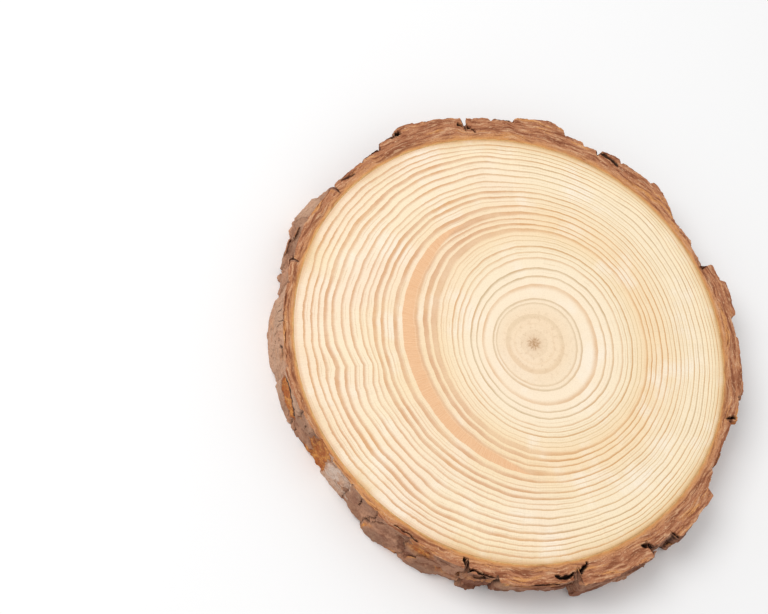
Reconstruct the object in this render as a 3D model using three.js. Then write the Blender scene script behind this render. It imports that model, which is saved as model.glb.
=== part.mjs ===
// A round slice sawn across a pine stem: a pale disc of wood inside its ring of scaly bark.
// Millimetres. The slice lies on its lower sawn face, and +Z points out of the upper one.

import * as THREE from "three";

// Sawn disc of wood
const thickness = 24;
const woodRadius = 109.4;
const woodColumns = 180;

// Slow swells of the stem: crests round the disc, height, and direction of the first crest in degrees
const stemSwells = [
  { crests: 1, height: 0.6, towards: 270 },
  { crests: 3, height: 0.5, towards: 30 },
  { crests: 5, height: 0.3, towards: 50 },
];

// Clearance between the wood and the inside of the bark
const barkGap = 0.3;

// Bark plates, counter-clockwise from +X. Each starts at its angle in degrees and ends where the next one
// starts. Its skin stands this far out of the wood at its two ends, and seam is the depth of the crack
// that parts it from the plate before.
const plates = [
  { start: 5, skin: [9.8, 9.0], seam: 0.6 },
  { start: 10, skin: [12.2, 12.2], seam: 0.4 },
  { start: 19.5, skin: [10.2, 9.8], seam: 0.8 },
  { start: 24.5, skin: [4.2, 4.0], seam: 1.2 },
  { start: 31, skin: [6.0, 6.2], seam: 0.4 },
  { start: 40, skin: [6.8, 10.8], seam: 0.4 },
  { start: 44.5, skin: [11.0, 13.4], seam: 0.3 },
  { start: 49, skin: [11.3, 11.5], seam: 0.6 },
  { start: 58, skin: [12.4, 11.6], seam: 1.4 },
  { start: 64, skin: [10.9, 9.8], seam: 2.6 },
  { start: 68, skin: [10.9, 10.6], seam: 0.8 },
  { start: 73.5, skin: [13.3, 17.0], seam: 0.6 },
  { start: 77.5, skin: [17.0, 13.4], seam: 0.2 },
  { start: 87, skin: [12.4, 12.6], seam: 3.0 },
  { start: 92.5, skin: [12.6, 12.4], seam: 1.2 },
  { start: 99.5, skin: [12.8, 14.4], seam: 7.6 },
  { start: 109, skin: [14.0, 13.4], seam: 1.0 },
  { start: 118, skin: [11.4, 9.8], seam: 2.4 },
  { start: 123, skin: [8.8, 7.6], seam: 1.8 },
  { start: 129, skin: [7.2, 7.0], seam: 1.0 },
  { start: 139.5, skin: [9.8, 10.6], seam: 3.6 },
  { start: 151, skin: [10.2, 8.8], seam: 0.8 },
  { start: 162, skin: [8.6, 6.8], seam: 4.2 },
  { start: 168, skin: [5.8, 5.4], seam: 0.8 },
  { start: 189.5, skin: [6.4, 5.0], seam: 1.6 },
  { start: 201, skin: [4.4, 3.2], seam: 1.4 },
  { start: 209, skin: [2.2, 2.2], seam: 0.3 },
  { start: 214.5, skin: [3.6, 3.4], seam: 0.3 },
  { start: 222.5, skin: [3.4, 4.4], seam: 0.9 },
  { start: 231, skin: [5.4, 5.8], seam: 1.7 },
  { start: 241, skin: [6.4, 7.2], seam: 0.9 },
  { start: 255.5, skin: [8.4, 7.8], seam: 5.6 },
  { start: 263, skin: [10.0, 10.0], seam: 2.4 },
  { start: 282.5, skin: [13.2, 14.2], seam: 6.8 },
  { start: 302, skin: [9.8, 9.8], seam: 3.4 },
  { start: 308.5, skin: [13.4, 12.8], seam: 1.2 },
  { start: 323.5, skin: [8.8, 6.2], seam: 0.8 },
  { start: 328.5, skin: [5.6, 6.4], seam: 0.3 },
  { start: 342.5, skin: [9.4, 8.8], seam: 2.6 },
  { start: 349.5, skin: [11.0, 10.2], seam: 1.0 },
];
const seamHalfWidth = 0.7;

// Flakes raised on the outer side, and hollows sunk into it where the rise is negative. Angle and height
// give the middle, width runs round the stem in degrees, tall runs along it, and edge is the share of the
// way to the middle over which the form rises.
const sideForms = [
  { angle: 147, height: 12, width: 11, tall: 30, rise: 1.2, edge: 0.15 },
  { angle: 179, height: 8, width: 20, tall: 30, rise: 1.9, edge: 0.15 },
  { angle: 195, height: 14.5, width: 8.5, tall: 9, rise: -2.4, edge: 0.3 },
  { angle: 218, height: 16, width: 7, tall: 11, rise: 0.9, edge: 0.15 },
  { angle: 240, height: 4, width: 24, tall: 26, rise: 1.8, edge: 0.3 },
  { angle: 272, height: 0, width: 26, tall: 30, rise: -3.6, edge: 0.9 },
];

// Sideways lean of the plates between the lower and the upper face, in degrees
const plateLean = 2.4;
const leanWavelength = 46;

// Scales over the whole side: their pitch round and along the stem, and how far they lift, which is less
// close under the upper face
const scaleColumns = 44;
const scaleTall = 13;
const scaleJitter = 0.8;
const scaleLift = 2.6;
const liftAtFace = 0.4;
const liftFadeTall = 6;
const thinnestBark = 1.6;

// Grid of the bark: even columns round the stem, with closer ones at each seam, and bands in height
const columnStep = 1.25;
const seamSpread = [-0.7, 0, 0.7];
const seamClearance = 0.35;
const barkBands = 8;

// Spread of the repeatable random values, and the separate draws made from them
const scatter = { column: 127.1, row: 311.7, draw: 74.7, span: 43758.5453 };
const draws = { shiftRound: 1, shiftAlong: 2, lift: 3, lean: 5 };

const degree = Math.PI / 180;
const halfTurn = 180;
const fullTurn = 360;

// Repeatable random value from 0 to 1 for a whole-number cell
function cellValue(column, row, draw) {
  const phase = column * scatter.column + row * scatter.row + draw * scatter.draw;
  const wave = Math.sin(phase) * scatter.span;
  return wave - Math.floor(wave);
}

function mix(a, b, share) {
  return a + (b - a) * share;
}

function smooth(share) {
  const t = Math.min(1, Math.max(0, share));
  return t * t * (3 - 2 * t);
}

// Direction in degrees brought into one turn from 0
function withinTurn(angle) {
  return ((angle % fullTurn) + fullTurn) % fullTurn;
}

// Turn from b to a, from -180 to 180 degrees
function turnBetween(a, b) {
  return withinTurn(a - b + halfTurn) - halfTurn;
}

function woodEdge(angle) {
  return stemSwells.reduce(
    (radius, swell) => radius + swell.height * Math.cos(swell.crests * (angle - swell.towards) * degree),
    woodRadius,
  );
}

// Smooth random wave round the stem, from -1 to 1, that closes on itself
function waveRound(angle, wavelength, draw) {
  const steps = Math.round(fullTurn / wavelength);
  const place = (withinTurn(angle) / fullTurn) * steps;
  const step = Math.floor(place);
  const value = (index) => 2 * cellValue(index % steps, 0, draw) - 1;
  return mix(value(step), value(step + 1), smooth(place - step));
}

// Skin of the plate at an angle, with the crack towards each neighbour cut into it
function plateSkin(angle) {
  const place = withinTurn(angle - plates[0].start);
  const startOf = (index) => (index < plates.length ? plates[index].start - plates[0].start : fullTurn);
  let index = plates.length - 1;
  while (startOf(index) > place) index -= 1;
  const plate = plates[index];
  const next = plates[(index + 1) % plates.length];
  const sinceStart = place - startOf(index);
  const untilEnd = startOf(index + 1) - place;
  const skin = mix(plate.skin[0], plate.skin[1], sinceStart / (sinceStart + untilEnd));
  const crack = (depth, away) => depth * (1 - smooth(away / seamHalfWidth));
  return skin - crack(plate.seam, sinceStart) - crack(next.seam, untilEnd);
}

// Lift of the scale that covers a point of the side: the nearest cell's own value
function scaleRise(angle, height) {
  const u = (angle / fullTurn) * scaleColumns;
  const v = height / scaleTall;
  let nearest = Infinity;
  let lift = 0;
  for (let column = Math.floor(u) - 1; column <= Math.floor(u) + 1; column += 1) {
    for (let row = Math.floor(v) - 1; row <= Math.floor(v) + 1; row += 1) {
      const home = ((column % scaleColumns) + scaleColumns) % scaleColumns;
      const du = column + 0.5 + scaleJitter * (cellValue(home, row, draws.shiftRound) - 0.5) - u;
      const dv = row + 0.5 + scaleJitter * (cellValue(home, row, draws.shiftAlong) - 0.5) - v;
      const distance = du * du + dv * dv;
      if (distance < nearest) {
        nearest = distance;
        lift = cellValue(home, row, draws.lift) - 0.5;
      }
    }
  }
  const fade = smooth((height - thickness + liftFadeTall) / liftFadeTall);
  return scaleLift * lift * mix(1, liftAtFace, fade);
}

function formRise(angle, height) {
  return sideForms.reduce((rise, form) => {
    const across = (2 * turnBetween(angle, form.angle)) / form.width;
    const along = (2 * (height - form.height)) / form.tall;
    const inside = 1 - Math.hypot(across, along);
    return rise + form.rise * smooth(inside / form.edge);
  }, 0);
}

function barkSkin(column, angle, height) {
  const skin = plateSkin(column) + scaleRise(angle, height) + formRise(angle, height);
  return Math.max(thinnestBark, skin);
}

// Directions of the bark's columns at the upper face
function barkColumns() {
  const even = [];
  for (let angle = 0; angle < fullTurn; angle += columnStep) even.push(angle);
  const seams = plates.flatMap((plate) =>
    seamSpread.map((spread) => withinTurn(plate.start + spread)),
  );
  const clear = even.filter((angle) =>
    seams.every((seam) => Math.abs(turnBetween(angle, seam)) > seamClearance),
  );
  return [...clear, ...seams].sort((a, b) => a - b);
}

// Closed surface from rings of equally many points, each ring joined to the next and the last to the first
function ringSolid(rings) {
  const count = rings[0].length;
  const positions = rings.flat().flatMap((point) => [point.x, point.y, point.z]);
  const index = [];
  rings.forEach((_, ring) => {
    const here = ring * count;
    const there = ((ring + 1) % rings.length) * count;
    for (let i = 0; i < count; i += 1) {
      const j = (i + 1) % count;
      index.push(here + i, here + j, there + j, here + i, there + j, there + i);
    }
  });
  const geometry = new THREE.BufferGeometry();
  geometry.setAttribute("position", new THREE.Float32BufferAttribute(positions, 3));
  geometry.setIndex(index);
  geometry.computeVertexNormals();
  return geometry;
}

function pointAt(angle, radius, height) {
  return new THREE.Vector3(
    radius * Math.cos(angle * degree),
    radius * Math.sin(angle * degree),
    height,
  );
}

function makeBark() {
  const columns = barkColumns();
  const leaned = (column, height) =>
    column + plateLean * waveRound(column, leanWavelength, draws.lean) * (1 - height / thickness);
  const outer = Array.from({ length: barkBands + 1 }, (_, band) => {
    const height = (band * thickness) / barkBands;
    return columns.map((column) => {
      const angle = leaned(column, height);
      return pointAt(angle, woodEdge(angle) + barkSkin(column, angle, height), height);
    });
  });
  const inner = [thickness, 0].map((height) =>
    columns.map((column) => {
      const angle = leaned(column, height);
      return pointAt(angle, woodEdge(angle), height);
    }),
  );
  return ringSolid([...outer, ...inner]);
}

function makeWood() {
  const outline = new THREE.Shape(
    Array.from({ length: woodColumns }, (_, column) => {
      const angle = (column * fullTurn) / woodColumns;
      const radius = woodEdge(angle) - barkGap;
      return new THREE.Vector2(radius * Math.cos(angle * degree), radius * Math.sin(angle * degree));
    }),
  );
  return new THREE.ExtrudeGeometry(outline, { depth: thickness, bevelEnabled: false });
}

function namedMesh(name, geometry, finish) {
  const mesh = new THREE.Mesh(geometry, new THREE.MeshStandardMaterial(finish));
  mesh.name = name;
  return mesh;
}

const slice = new THREE.Group();
slice.add(
  namedMesh("wood", makeWood(), { color: 0xf4deb6, roughness: 0.72, metalness: 0 }),
  namedMesh("bark", makeBark(), { color: 0x8c6248, roughness: 0.92, metalness: 0 }),
);

// The middle of the whole slice's lower face is the origin
const middle = new THREE.Box3().setFromObject(slice).getCenter(new THREE.Vector3());
slice.children.forEach((mesh) => mesh.position.set(-middle.x, -middle.y, 0));

export default slice;
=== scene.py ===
"""Looks of the wood slice: its sanded growth rings and its scaly bark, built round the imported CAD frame.

Lengths inside the classes are millimetres and angles are degrees, as in the part's source. Meshes are made in
metres, in the part's own frame.
"""

import logging
import math
from dataclasses import astuple, dataclass, field
from enum import Enum
from typing import Callable, Sequence, Union

import bmesh
import bpy
import numpy as np
from mathutils import Matrix, Vector


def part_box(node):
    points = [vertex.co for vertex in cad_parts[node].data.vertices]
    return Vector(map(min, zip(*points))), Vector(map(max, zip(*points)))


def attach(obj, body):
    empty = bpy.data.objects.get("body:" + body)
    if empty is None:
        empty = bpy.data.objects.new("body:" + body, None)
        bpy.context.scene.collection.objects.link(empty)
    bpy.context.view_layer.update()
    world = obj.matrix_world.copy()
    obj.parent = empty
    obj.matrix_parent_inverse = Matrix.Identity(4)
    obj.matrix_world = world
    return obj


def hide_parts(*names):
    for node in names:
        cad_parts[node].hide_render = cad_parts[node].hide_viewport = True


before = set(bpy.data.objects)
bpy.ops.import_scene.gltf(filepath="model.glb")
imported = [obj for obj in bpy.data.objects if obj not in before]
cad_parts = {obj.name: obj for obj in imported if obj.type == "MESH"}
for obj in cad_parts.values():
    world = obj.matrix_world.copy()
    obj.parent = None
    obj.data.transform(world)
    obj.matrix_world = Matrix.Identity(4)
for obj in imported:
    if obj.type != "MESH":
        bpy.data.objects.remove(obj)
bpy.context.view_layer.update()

LOG = logging.getLogger("wood_slice")

MM = 0.001
FULL_TURN = 360.0
HALF_TURN = 180.0
CELL_STEPS = (127.1, 311.7, 74.7)
CELL_STRETCH = 43758.5453
OCTAVE_SHIFT = 0.31

Array = np.ndarray
Socket = bpy.types.NodeSocket
Feed = Union[Socket, float, Sequence[float]]


# Fields over the slice

def mix(low: Array, high: Array, share: Array) -> Array:
    """Returns the value that lies at a share of the way from low to high."""
    return low + (high - low) * share


def smooth(share: Array) -> Array:
    """Returns an eased share, flat below 0 and above 1."""
    held = np.clip(share, 0.0, 1.0)
    return held * held * (3.0 - 2.0 * held)


def turn_between(angle: Array, other: Array) -> Array:
    """Returns the turn from other to angle, from -180 to 180 degrees."""
    return (angle - other + HALF_TURN) % FULL_TURN - HALF_TURN


class Draw(Enum):
    """Separate draws of the repeatable random values. The first four are those of the CAD source."""

    SHIFT_ROUND = 1
    SHIFT_ALONG = 2
    LIFT = 3
    LEAN = 5
    RAGGED = 11
    SWELL = 17
    LAYER = 23
    CRACK = 29
    GRIT = 37
    TONE = 43
    SAWN = 53


def cell_value(column: Array, row: Array, draw: float) -> Array:
    """Returns a repeatable random value from 0 to 1 for whole-number cells."""
    across, along, apart = CELL_STEPS
    wave = np.sin(column * across + row * along + draw * apart) * CELL_STRETCH
    return wave - np.floor(wave)


def ripple(angle: Array, height: Array, pitch: tuple[float, float], draw: float) -> Array:
    """Smooth random field that closes round the stem.

    Args:
        angle: Directions in degrees.
        height: Heights in millimetres, or any other length.
        pitch: Size of one cell, in degrees round the stem and in millimetres along it.
        draw: Number of the random draw.

    Returns:
        Values from -1 to 1.
    """
    columns = max(1, round(FULL_TURN / pitch[0]))
    across = (angle % FULL_TURN) / FULL_TURN * columns
    along = height / pitch[1]
    column, row = np.floor(across), np.floor(along)

    def corner(right: int, up: int) -> Array:
        """Returns the random value at one corner of each point's cell."""
        return cell_value((column + right) % columns, row + up, draw)

    lower = mix(corner(0, 0), corner(1, 0), smooth(across - column))
    upper = mix(corner(0, 1), corner(1, 1), smooth(across - column))
    return 2.0 * mix(lower, upper, smooth(along - row)) - 1.0


def rough(angle: Array, height: Array, pitch: tuple[float, float], draw: Draw, octaves: int = 3) -> Array:
    """Sum of ripples that halve in size and in height.

    Args:
        angle: Directions in degrees.
        height: Heights in millimetres.
        pitch: Size of the largest cells, in degrees and millimetres.
        draw: The random draw.
        octaves: How many ripples are added up.

    Returns:
        Values mostly from -1 to 1.
    """
    total = np.zeros(np.broadcast(angle, height).shape)
    for octave in range(octaves):
        size = 0.5**octave
        cells = (pitch[0] * size, pitch[1] * size)
        total = total + size * ripple(angle, height, cells, draw.value + OCTAVE_SHIFT * octave)
    return total


# The stem's outline, as the CAD source gives it

@dataclass(frozen=True)
class Swell:
    """One slow swell of the stem: crests round it, height, and direction of the first crest."""

    crests: int
    height: float
    towards: float


@dataclass(frozen=True)
class Stem:
    """Outline of the wood and where the slice lies in the part's frame."""

    radius: float = 109.4
    swells: tuple[Swell, ...] = (Swell(1, 0.6, 270.0), Swell(3, 0.5, 30.0), Swell(5, 0.3, 50.0))
    cad_gap: float = 0.3
    cad_columns: int = 180

    def edge(self, angle: Array) -> Array:
        """Returns the radius of the wood's edge at each angle."""
        radius = np.full(np.shape(angle), self.radius)
        for swell in self.swells:
            radius = radius + swell.height * np.cos(np.radians(swell.crests * (angle - swell.towards)))
        return radius

    @property
    def thickness(self) -> float:
        """Returns the height of the slice, from the frame."""
        low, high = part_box("wood")
        return (high.z - low.z) / MM

    @property
    def centre(self) -> Array:
        """Returns the stem's axis in the part's frame, from the wood's box and its outline."""
        angle = np.arange(self.cad_columns) * FULL_TURN / self.cad_columns
        reach = self.edge(angle) - self.cad_gap
        points = np.stack([reach * np.cos(np.radians(angle)), reach * np.sin(np.radians(angle))], axis=1)
        low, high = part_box("wood")
        middle = np.array([low.x + high.x, low.y + high.y]) / (2.0 * MM)
        return middle - (points.min(axis=0) + points.max(axis=0)) / 2.0

    def place(self, angle: Array, radius: Array, height: Array) -> Array:
        """Returns points in metres in the part's frame from angles, radii and heights."""
        turned = np.radians(angle)
        x = self.centre[0] + radius * np.cos(turned)
        y = self.centre[1] + radius * np.sin(turned)
        return np.stack([x, y, height], axis=1) * MM


# Node graphs

def linear(colour: str) -> tuple[float, float, float, float]:
    """Returns a scene-linear colour from a hexadecimal sRGB one."""
    shares = [int(colour[i : i + 2], 16) / 255.0 for i in (1, 3, 5)]
    made = [s / 12.92 if s <= 0.04045 else ((s + 0.055) / 1.055) ** 2.4 for s in shares]
    return (made[0], made[1], made[2], 1.0)


class Graph:
    """Short ways to add nodes to one node tree."""

    def __init__(self, tree: bpy.types.NodeTree) -> None:
        """Keeps the tree that the nodes go into."""
        self.tree = tree

    def add(self, kind: str, **settings: object) -> bpy.types.Node:
        """Returns a new node of a kind, with its settings."""
        node = self.tree.nodes.new(kind)
        for name, value in settings.items():
            setattr(node, name, value)
        return node

    def feed(self, socket: Socket, source: Feed) -> None:
        """Links a socket to another one, or gives it a value."""
        if isinstance(source, bpy.types.NodeSocket):
            self.tree.links.new(source, socket)
        else:
            socket.default_value = source

    def maths(self, operation: str, *inputs: Feed, clamp: bool = False) -> Socket:
        """Returns the result of a Math node."""
        node = self.add("ShaderNodeMath", operation=operation, use_clamp=clamp)
        for socket, source in zip(node.inputs, inputs):
            self.feed(socket, source)
        return node.outputs[0]

    def total(self, *parts: Feed) -> Socket:
        """Returns the sum of some values."""
        made = parts[0]
        for part in parts[1:]:
            made = self.maths("ADD", made, part)
        return made

    def product(self, *parts: Feed) -> Socket:
        """Returns the product of some values."""
        made = parts[0]
        for part in parts[1:]:
            made = self.maths("MULTIPLY", made, part)
        return made

    def sway(self, noise: Feed, reach: float) -> Socket:
        """Returns a noise from 0 to 1 as a value from -reach to reach."""
        return self.maths("MULTIPLY_ADD", noise, 2.0 * reach, -reach)

    def span(self, value: Feed, low: Feed, high: Feed, to_low: float = 0.0, to_high: float = 1.0) -> Socket:
        """Returns a value eased from one range to another."""
        node = self.add("ShaderNodeMapRange", interpolation_type="SMOOTHSTEP")
        for socket, source in zip(node.inputs, (value, low, high, to_low, to_high)):
            self.feed(socket, source)
        return node.outputs[0]

    def blend(self, share: Feed, low: Feed, high: Feed) -> Socket:
        """Returns the mix of two colours."""
        node = self.add("ShaderNodeMix", data_type="RGBA")
        self.feed(node.inputs["Factor"], share)
        self.feed(node.inputs[6], low)
        self.feed(node.inputs[7], high)
        return node.outputs[2]

    def between(self, share: Feed, low: Feed, high: Feed) -> Socket:
        """Returns the mix of two values."""
        node = self.add("ShaderNodeMix", data_type="FLOAT")
        self.feed(node.inputs["Factor"], share)
        self.feed(node.inputs[2], low)
        self.feed(node.inputs[3], high)
        return node.outputs[0]

    def vector(self, operation: str, *inputs: Feed) -> bpy.types.Node:
        """Returns a Vector Math node."""
        node = self.add("ShaderNodeVectorMath", operation=operation)
        for socket, source in zip(node.inputs, inputs):
            self.feed(socket, source)
        return node

    def attribute(self, name: str) -> Socket:
        """Returns the value of one of the mesh's attributes."""
        return self.add("ShaderNodeAttribute", attribute_name=name).outputs["Fac"]

    def noise(self, place: Feed, scale: float, detail: float = 2.0, roughness: float = 0.5) -> Socket:
        """Returns a noise from 0 to 1."""
        node = self.add("ShaderNodeTexNoise")
        self.feed(node.inputs["Vector"], place)
        node.inputs["Scale"].default_value = scale
        node.inputs["Detail"].default_value = detail
        node.inputs["Roughness"].default_value = roughness
        return node.outputs["Fac"]

    def ramp(self, value: Feed, stops: Sequence[tuple[float, Sequence[float]]],
             way: str = "LINEAR") -> Socket:
        """Looks a value up in a row of colours.

        Args:
            value: Where to look, from 0 to 1.
            stops: Each colour with its place, in order.
            way: How colours between two stops are made.

        Returns:
            The colour's socket.
        """
        node = self.add("ShaderNodeValToRGB")
        colours = node.color_ramp
        colours.interpolation = way
        colours.elements.remove(colours.elements[1])
        colours.elements[0].position, colours.elements[0].color = stops[0]
        for position, colour in stops[1:]:
            colours.elements.new(position).color = colour
        self.feed(node.inputs["Fac"], value)
        return node.outputs["Color"]

    def object_place(self) -> Socket:
        """Returns the Object coordinates."""
        return self.add("ShaderNodeTexCoord").outputs["Object"]

    def cross_place(self) -> Socket:
        """Returns the Object coordinates without the height, for looks that run through the slice."""
        return self.vector("MULTIPLY", self.object_place(), (1.0, 1.0, 0.0)).outputs[0]


def new_material(name: str) -> tuple[bpy.types.Material, Graph, bpy.types.Node]:
    """Makes an empty material.

    Args:
        name: The material's name.

    Returns:
        The material, its graph and its Principled BSDF.
    """
    material = bpy.data.materials.new(name)
    material.use_nodes = True
    graph = Graph(material.node_tree)
    graph.tree.nodes.clear()
    shader = graph.add("ShaderNodeBsdfPrincipled")
    output = graph.add("ShaderNodeOutputMaterial")
    graph.feed(output.inputs["Surface"], shader.outputs["BSDF"])
    return material, graph, shader


class StemGrain:
    """Node group with a noise drawn out round an axis, which the wood and the bark both use."""

    name = "stem_grain"
    axis_inputs = ("Axis X", "Axis Y")
    inputs = ("Round", "From", "Out", "Along", "Shift", "Detail", "Roughness")

    @classmethod
    def tree(cls) -> bpy.types.NodeTree:
        """Makes the group, or finds the one already made.

        Returns:
            A group that puts out Grain, from 0 to 1.
        """
        found = bpy.data.node_groups.get(cls.name)
        if found:
            return found
        tree = bpy.data.node_groups.new(cls.name, "ShaderNodeTree")
        for name in cls.axis_inputs + cls.inputs:
            tree.interface.new_socket(name, in_out="INPUT", socket_type="NodeSocketFloat")
        tree.interface.new_socket("Grain", in_out="OUTPUT", socket_type="NodeSocketFloat")
        graph = Graph(tree)
        given = graph.add("NodeGroupInput").outputs
        axis = graph.add("ShaderNodeCombineXYZ")
        graph.feed(axis.inputs["X"], given["Axis X"])
        graph.feed(axis.inputs["Y"], given["Axis Y"])
        offset = graph.vector("SUBTRACT", graph.object_place(), axis.outputs[0]).outputs[0]
        flat = graph.vector("MULTIPLY", offset, (1.0, 1.0, 0.0)).outputs[0]
        reach = graph.vector("LENGTH", flat).outputs["Value"]
        beyond = graph.maths("SUBTRACT", graph.total(reach, given["Shift"]), given["From"])
        ring = graph.vector("SCALE", graph.vector("NORMALIZE", flat).outputs[0])
        graph.feed(ring.inputs["Scale"], graph.total(given["Round"], graph.product(beyond, given["Out"])))
        parts = graph.add("ShaderNodeSeparateXYZ")
        graph.feed(parts.inputs[0], offset)
        lift = graph.add("ShaderNodeCombineXYZ")
        graph.feed(lift.inputs["Z"], graph.product(parts.outputs["Z"], given["Along"]))
        place = graph.vector("ADD", ring.outputs[0], lift.outputs[0]).outputs[0]
        noise = graph.add("ShaderNodeTexNoise")
        graph.feed(noise.inputs["Vector"], place)
        noise.inputs["Scale"].default_value = 1.0
        for name in ("Detail", "Roughness"):
            graph.feed(noise.inputs[name], given[name])
        graph.feed(graph.add("NodeGroupOutput").inputs["Grain"], noise.outputs["Fac"])
        return tree

    @classmethod
    def grain(cls, graph: Graph, axis: Array, cells: tuple[float, float, float], from_: float = 0.0,
              shift: Feed = 0.0, detail: float = 2.0) -> Socket:
        """Adds the group to a graph.

        Args:
            graph: The graph that needs the noise.
            axis: The axis that the noise turns about, in millimetres.
            cells: Cells in one radian round the axis, in one metre outwards and in one metre along.
            from_: The radius in metres at which the cells round the axis are counted.
            shift: How far the noise is moved outwards, in metres.
            detail: The noise's octaves.

        Returns:
            The noise's socket.
        """
        node = graph.add("ShaderNodeGroup", node_tree=cls.tree())
        values = {
            "Axis X": axis[0] * MM, "Axis Y": axis[1] * MM, "Round": cells[0], "From": from_,
            "Out": cells[1], "Along": cells[2], "Detail": detail, "Roughness": 0.6,
        }
        for name, value in values.items():
            node.inputs[name].default_value = float(value)
        graph.feed(node.inputs["Shift"], shift)
        return node.outputs["Grain"]


# Meshes

def write_values(mesh: bpy.types.Mesh, name: str, values: Array, domain: str = "POINT") -> None:
    """Stores one number for each vertex or face of a mesh."""
    stored = mesh.attributes.new(name, "FLOAT", domain)
    stored.data.foreach_set("value", np.asarray(values, np.float32))


def read_points(mesh: bpy.types.Mesh) -> Array:
    """Returns the places of a mesh's vertices."""
    points = np.empty(len(mesh.vertices) * 3, np.float32)
    mesh.vertices.foreach_get("co", points)
    return points.reshape(-1, 3).astype(float)


def held(values: Array, low: float, high: float, ease: float) -> Array:
    """Keeps values between two limits, and eases those that come near a limit."""
    over = np.maximum(values - (high - ease), 0.0) / ease
    under = np.maximum((low + ease) - values, 0.0) / ease
    eased = np.minimum(values, high - ease) + ease * (1.0 - np.exp(-over))
    return np.where(under > 0.0, low + ease * np.exp(-under), eased)


def keep_in_box(points: Array, node: str, ease: float) -> None:
    """Holds points in metres inside a CAD node's box sideways, eased over a length in millimetres."""
    low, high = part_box(node)
    points[:, 0] = held(points[:, 0], low.x, high.x, ease * MM)
    points[:, 1] = held(points[:, 1], low.y, high.y, ease * MM)


def write_points(mesh: bpy.types.Mesh, points: Array) -> None:
    """Moves a mesh's vertices."""
    mesh.vertices.foreach_set("co", np.asarray(points, np.float32).ravel())
    mesh.update()


def corner_points(mesh: bpy.types.Mesh) -> Array:
    """Returns the number of the vertex at each face corner, one row for each four-sided face."""
    corners = np.empty(len(mesh.loops), np.int32)
    mesh.loops.foreach_get("vertex_index", corners)
    return corners.reshape(-1, 4)


def write_map(mesh: bpy.types.Mesh, u: Array, v: Array) -> None:
    """Stores the piece's own UV map, with one place for each face corner."""
    layer = mesh.uv_layers.new(name="OFBake")
    layer.data.foreach_set("uv", np.stack([u.ravel(), v.ravel()], axis=1).astype(np.float32).ravel())


def unit_grid(columns: int, rows: int) -> bmesh.types.BMesh:
    """Returns a flat grid of whole-number places: columns along X and rows along Y, both from 0."""
    shell = bmesh.new()
    bmesh.ops.create_grid(shell, x_segments=columns, y_segments=rows, size=0.5)
    half = Vector((0.5, 0.5, 0.0))
    bmesh.ops.translate(shell, vec=half, verts=shell.verts[:])
    bmesh.ops.scale(shell, vec=(columns, rows, 1.0), verts=shell.verts[:])
    return shell


def finish_piece(name: str, shell: bmesh.types.BMesh, material: bpy.types.Material) -> bpy.types.Object:
    """Makes an object at the origin from a bmesh, with one material and smooth faces.

    Args:
        name: The piece's name.
        shell: Its mesh, in metres. It is freed.
        material: The material that all its faces wear.

    Returns:
        The new object.
    """
    mesh = bpy.data.meshes.new(name)
    for face in shell.faces:
        face.smooth = True
    shell.to_mesh(mesh)
    shell.free()
    mesh.materials.append(material)
    piece = bpy.data.objects.new(name, mesh)
    bpy.context.scene.collection.objects.link(piece)
    return piece


def close_shell(mesh: bpy.types.Mesh, sharp: float, weld: float = 0.0, wall: float = 0.0) -> None:
    """Welds a mesh's seams or gives it a wall inwards, turns all faces outwards and marks the sharp edges.

    Args:
        mesh: The mesh to change.
        sharp: Edges that bend by more than this many degrees are sharp.
        weld: Points nearer than this are merged, in millimetres, where it is above 0.
        wall: Thickness of the wall in millimetres, where it is above 0.
    """
    shell = bmesh.new()
    shell.from_mesh(mesh)
    if weld > 0.0:
        bmesh.ops.remove_doubles(shell, verts=shell.verts[:], dist=weld * MM)
    if wall > 0.0:
        bmesh.ops.solidify(shell, geom=shell.faces[:], thickness=wall * MM)
    bmesh.ops.recalc_face_normals(shell, faces=shell.faces[:])
    shell.to_mesh(mesh)
    shell.free()
    mesh.set_sharp_from_angle(angle=math.radians(sharp))


def report(piece: bpy.types.Object) -> None:
    """Logs what a finished piece holds."""
    triangles = sum(len(face.vertices) - 2 for face in piece.data.polygons)
    LOG.info("%s: %d triangles", piece.name, triangles)


# Wood

class Tone(Enum):
    """Colours of a ring's latewood on the side where the rings are narrow."""

    GREY = "#CBB088"
    OLIVE = "#DBBF8C"
    TAN = "#DDB585"
    ORANGE = "#DEA76C"
    PINK = "#E4BC93"


@dataclass(frozen=True)
class Year:
    """One year's growth.

    end is the ring coordinate of its outer edge, from 0 at the pith to 1 at the bark. late is its latewood's
    share of the ring on the narrow side, and wide the same on the side of the compression wood. depth is how
    strongly the latewood shows.
    """

    end: float
    late: float
    wide: float
    depth: float
    tone: Tone


@dataclass(frozen=True)
class RingDent:
    """A bend that neighbouring rings share.

    towards and half_width give its direction, inner and outer the rings it reaches, and rise how far out it
    goes. pointed bends come to a corner.
    """

    towards: float
    half_width: float
    inner: float
    outer: float
    rise: float
    pointed: bool = False


@dataclass(frozen=True)
class RingWave:
    """A slow wave in the rings: its crests round the pith, its height, and how it turns from pith to bark."""

    crests: int
    height: float
    start: float
    drift: float


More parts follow.
